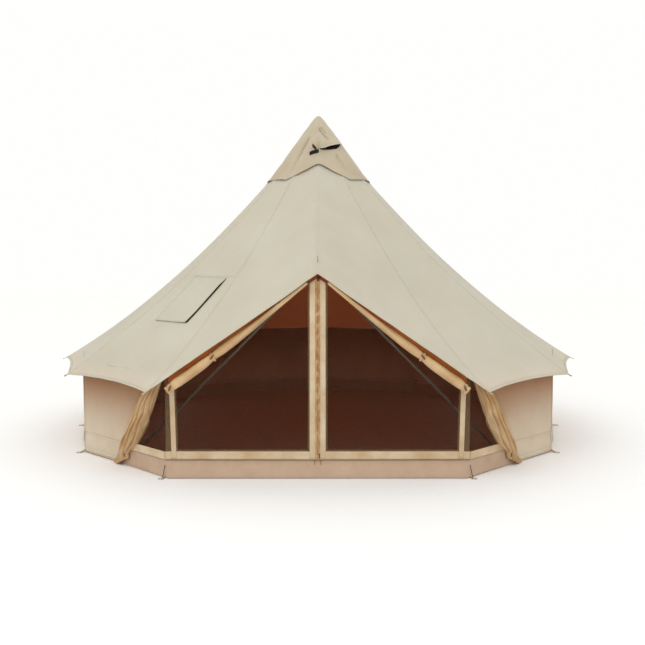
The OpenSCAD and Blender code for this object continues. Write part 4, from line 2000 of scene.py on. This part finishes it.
@dataclass
class Hardware:
    """Guy loops, peg straps, elastic cords, and the finishes of the metal pieces."""

    corners: range = range(1, 12)
    loop_w: float = 0.018
    loop_len: float = 0.046
    elastic_d: float = 0.006
    elastic_steps: tuple[tuple[float, float], ...] = (
        (0.0, 0.0), (0.010, 0.030), (0.022, 0.068), (0.034, 0.094),
    )

    def guy_loops(self) -> bpy.types.Object:
        """Builds a webbing loop at each eave corner.

        Returns:
            The piece.
        """
        parts = []
        for i in self.corners:
            station = i if i <= 6 else i - 12
            tip = ROOF.point(station if abs(station) < 6 else 6, 1.0)
            out = polar(1, i * PLAN.sector, -0.45).normalized()
            side = polar(1, i * PLAN.sector + 90, 0)

            def loop(u: float, v: float, t: Vector = tip, o: Vector = out, s: Vector = side) -> Vector:
                """Goes out, round and back as one strap."""
                angle = 2 * math.pi * u
                far = self.loop_len * (0.5 - 0.5 * math.cos(angle)) - 0.012
                lift = 0.006 * math.sin(angle) * (0.35 + 0.65 * smooth_step(far / self.loop_len))
                return t + o * far + Vector((0, 0, lift)) + s * (v - 0.5) * self.loop_w

            parts.append(cloth(28, 3, loop, (0.12, self.loop_w), merge=True))

        bm = joined(parts)
        return piece(bm, "guy_loop_webbing", WEBBING, thickness=0.002,
                     stands_for=["guy_loops"])

    def peg_straps(self) -> bpy.types.Object:
        """Builds the strap from each floor corner round its ring.

        Returns:
            The piece.
        """
        parts = []
        for i in self.corners:
            out = polar(1, i * PLAN.sector, 0)
            side = polar(1, i * PLAN.sector + 90, 0)
            base = polar(PLAN.floor_r - 0.004, i * PLAN.sector, 0.0)

            def strap(u: float, v: float, b: Vector = base, o: Vector = out, s: Vector = side) -> Vector:
                """Leaves the corner, goes round the ring's wire and comes back."""
                angle = 2 * math.pi * u
                far = 0.024 - 0.024 * math.cos(angle)
                height = 0.0045 + 0.0036 * math.sin(angle) + 0.022 * (1 - far / 0.048) ** 2
                return b + o * far + Vector((0, 0, height)) + s * (v - 0.5) * 0.02

            parts.append(cloth(24, 3, strap, (0.12, 0.02), merge=True))
        return piece(joined(parts), "peg_strap_webbing", WEBBING, thickness=0.0016,
                     stands_for=["peg_straps"])

    def elastics(self) -> None:
        """Builds the elastic cord that is stretched from the rim to the peg strap at each front corner."""
        for side, corner in ((Side.RIGHT, 1), (Side.LEFT, 11)):
            out = polar(1, corner * PLAN.sector, 0)
            high = polar(PLAN.floor_r + 0.004, corner * PLAN.sector, 0.105)
            path = [high + out * reach + Vector((0, 0, -drop)) for reach, drop in self.elastic_steps]
            smooth = arc_path(path, 6)
            made = piece(tube(smooth, self.elastic_d / 2, 8), f"corner_elastic_{side.word}", ELASTIC)

    def dress(self) -> None:
        """Gives each packed metal and rubber piece its finish."""
        finishes = {
            "pole_lower": ZINC_TUBE, "pole_upper": ZINC_TUBE, "pole_joiner": ZINC_TUBE,
            "a_frame_leg_right": ZINC_TUBE, "a_frame_leg_left": ZINC_TUBE, "a_frame_bracket": ZINC_TUBE,
            "pole_foot": RUBBER, "pole_head": RUBBER, "a_frame_feet": RUBBER,
            "peg_rings": NICKEL, "vent_buckle": NICKEL, "canopy_grommet": NICKEL,
        }
        for node, finish in finishes.items():
            shape = bpy.data.objects[node]
            for spot in shape.material_slots:
                spot.material = WARDROBE.get(finish)
            LOG.info("%s: finished as %s", node, finish.name)

    def build(self) -> None:
        """Builds and dresses all of it."""
        self.guy_loops()
        self.peg_straps()
        self.elastics()
        self.dress()


@dataclass
class StoveFlap:
    """The flap over the stove jack, on the left front of the roof."""

    width: float = 0.485
    shift: float = 0.026
    length: float = 0.610
    top_r: float = 1.500
    foot_r: float = 2.000
    station: float = -1.5

    def spot(self, along: float, down: float, lift: float) -> Vector:
        """Gives a point on the roof beside the jack.

        Args:
            along: distance to the side of the panel's middle line.
            down: distance down the slope from the hinge.
            lift: distance above the roof.

        Returns:
            The point.
        """
        run = (self.foot_r - self.top_r) * math.cos(math.radians(PLAN.sector / 2))
        slant = math.hypot(run, PLAN.roof_z(self.top_r) - PLAN.roof_z(self.foot_r))
        radius = self.top_r + down * (self.foot_r - self.top_r) / slant
        return ROOF.over(self.station, along, radius, lift)

    def build(self) -> None:
        """Builds the flap, its top seam, and the patch under it."""

        def lie(u: float, v: float) -> Vector:
            """Lies on the roof, lifted along its right edge."""
            open_edge = 0.012 * u**8 * smooth_step(v * 5)
            low_edge = 0.003 * v**10
            wave = 0.0015 * (1 + ripple(Vector((u, v, 0)), 0.4)) * smooth_step(v * 4)
            return self.spot(
                (u - 0.5) * self.width + self.shift, 0.004 + v * (self.length - 0.004),
                0.0030 + 0.0012 * smooth_step(v * 20) + open_edge + low_edge + wave,
            )

        bm = cloth(20, 24, lie, (self.width, self.length))
        turn_outwards(bm, Vector((0, 0, 0.5)))
        flap = piece(bm, "stove_flap_canvas", CANVAS, "stove_flap", thickness=0.0025,
                     stands_for=["stove_flap"])

        def patch(u: float, v: float) -> Vector:
            """Lies on the roof under the flap."""
            return self.spot(
                (u - 0.5) * (self.width + 0.004) + self.shift + 0.003,
                0.012 + v * (self.length - 0.022), 0.0022,
            )

        bm = cloth(16, 20, patch, (self.width, self.length))
        turn_outwards(bm, Vector((0, 0, 0.5)))
        jack = piece(bm, "stove_jack_cloth", STOVE_CLOTH, thickness=0.001,
                     stands_for=["stove_jack"])

        def seam(u: float, v: float) -> Vector:
            """Runs above the flap's top edge and past it."""
            return self.spot((u - 0.40) * (self.width + 0.10), 0.014 * v - 0.020, 0.0010)

        bm = cloth(16, 2, seam, (self.width, 0.02))
        turn_outwards(bm, Vector((0, 0, 0.5)))
        top = piece(bm, "stove_flap_seam", CANVAS, thickness=0.0008)


# ---------------------------------------------------------------- studio


@dataclass
class Studio:
    """The camera, the floor and the soft light."""

    lens: float = 47.28
    eye: tuple[float, float, float] = (0.034, -9.008, 1.802)
    pitch: float = 4.39
    yaw: float = 0.047
    floor_size: float = 60.0
    floor_colour: tuple[float, float, float, float] = (0.92, 0.92, 0.91, 1)
    sky_colour: tuple[float, float, float, float] = (1.0, 0.995, 0.98, 1)
    zenith: float = 1.15
    key_size: float = 6.0
    key_power: float = 90.0
    key_place: tuple[float, float, float] = (-2.5, -6.0, 7.5)
    key_aim: tuple[float, float, float] = (0.0, 0.0, 1.2)

    def camera(self) -> None:
        """Places the camera at a standing person's eye, in front of the door."""
        data = bpy.data.cameras.new("camera")
        data.lens = self.lens
        data.sensor_width = 36.0
        made = bpy.data.objects.new("camera", data)
        made.location = self.eye
        made.rotation_euler = (math.radians(90 - self.pitch), 0, math.radians(-self.yaw))
        bpy.context.scene.collection.objects.link(made)
        bpy.context.scene.camera = made

    def floor(self) -> None:
        """Lays the pale floor."""
        bm = bmesh.new()
        bmesh.ops.create_grid(bm, x_segments=1, y_segments=1, size=self.floor_size / 2)
        mesh = bpy.data.meshes.new("studio_floor")
        bm.to_mesh(mesh)
        bm.free()
        made = bpy.data.objects.new("studio_floor", mesh)
        made.location.z = -0.001
        bpy.context.scene.collection.objects.link(made)
        material = bpy.data.materials.new("studio_floor")
        material.use_nodes = True
        shader = material.node_tree.nodes["Principled BSDF"]
        shader.inputs["Base Color"].default_value = self.floor_colour
        shader.inputs["Roughness"].default_value = 1.0
        shader.inputs["Specular IOR Level"].default_value = 0.0
        mesh.materials.append(material)

    def lights(self) -> None:
        """Sets a white sky and one broad soft light above the door."""
        scene = bpy.context.scene
        scene.view_settings.view_transform = "Standard"
        world = bpy.data.worlds.new("studio_sky")
        world.use_nodes = True
        tree = world.node_tree
        tree.nodes.clear()
        place = add_node(tree, "ShaderNodeTexCoord")
        height = add_node(tree, "ShaderNodeSeparateXYZ", {0: (place, "Generated")})
        strength = add_node(
            tree, "ShaderNodeMapRange",
            {
                "Value": (height, "Z"), "From Min": 0.25, "From Max": 1.0,
                "To Min": 1.0, "To Max": self.zenith,
            },
        )
        sky = add_node(
            tree, "ShaderNodeBackground", {"Color": self.sky_colour, "Strength": (strength, "Result")}
        )
        add_node(tree, "ShaderNodeOutputWorld", {"Surface": (sky, 0)})
        scene.world = world
        data = bpy.data.lights.new("soft_key", "AREA")
        data.shape = "DISK"
        data.size = self.key_size
        data.energy = self.key_power
        made = bpy.data.objects.new("soft_key", data)
        made.location = self.key_place
        made.rotation_euler = (Vector(self.key_aim) - made.location).to_track_quat("-Z", "Y").to_euler()
        scene.collection.objects.link(made)

    def build(self) -> None:
        """Sets up the studio."""
        self.camera()
        self.floor()
        self.lights()


ROOF = Roof()


def main() -> None:
    """Builds the studio and the tent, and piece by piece."""
    logging.basicConfig(level=logging.INFO, format="%(name)s: %(message)s")
    Studio().build()
    ROOF.build()
    RainCap().build()
    Walls().build()
    CanvasDoor().build()
    MeshDoor().build()
    Groundsheet().build()
    StoveFlap().build()
    Hardware().build()


if __name__ == "__main__":
    main()
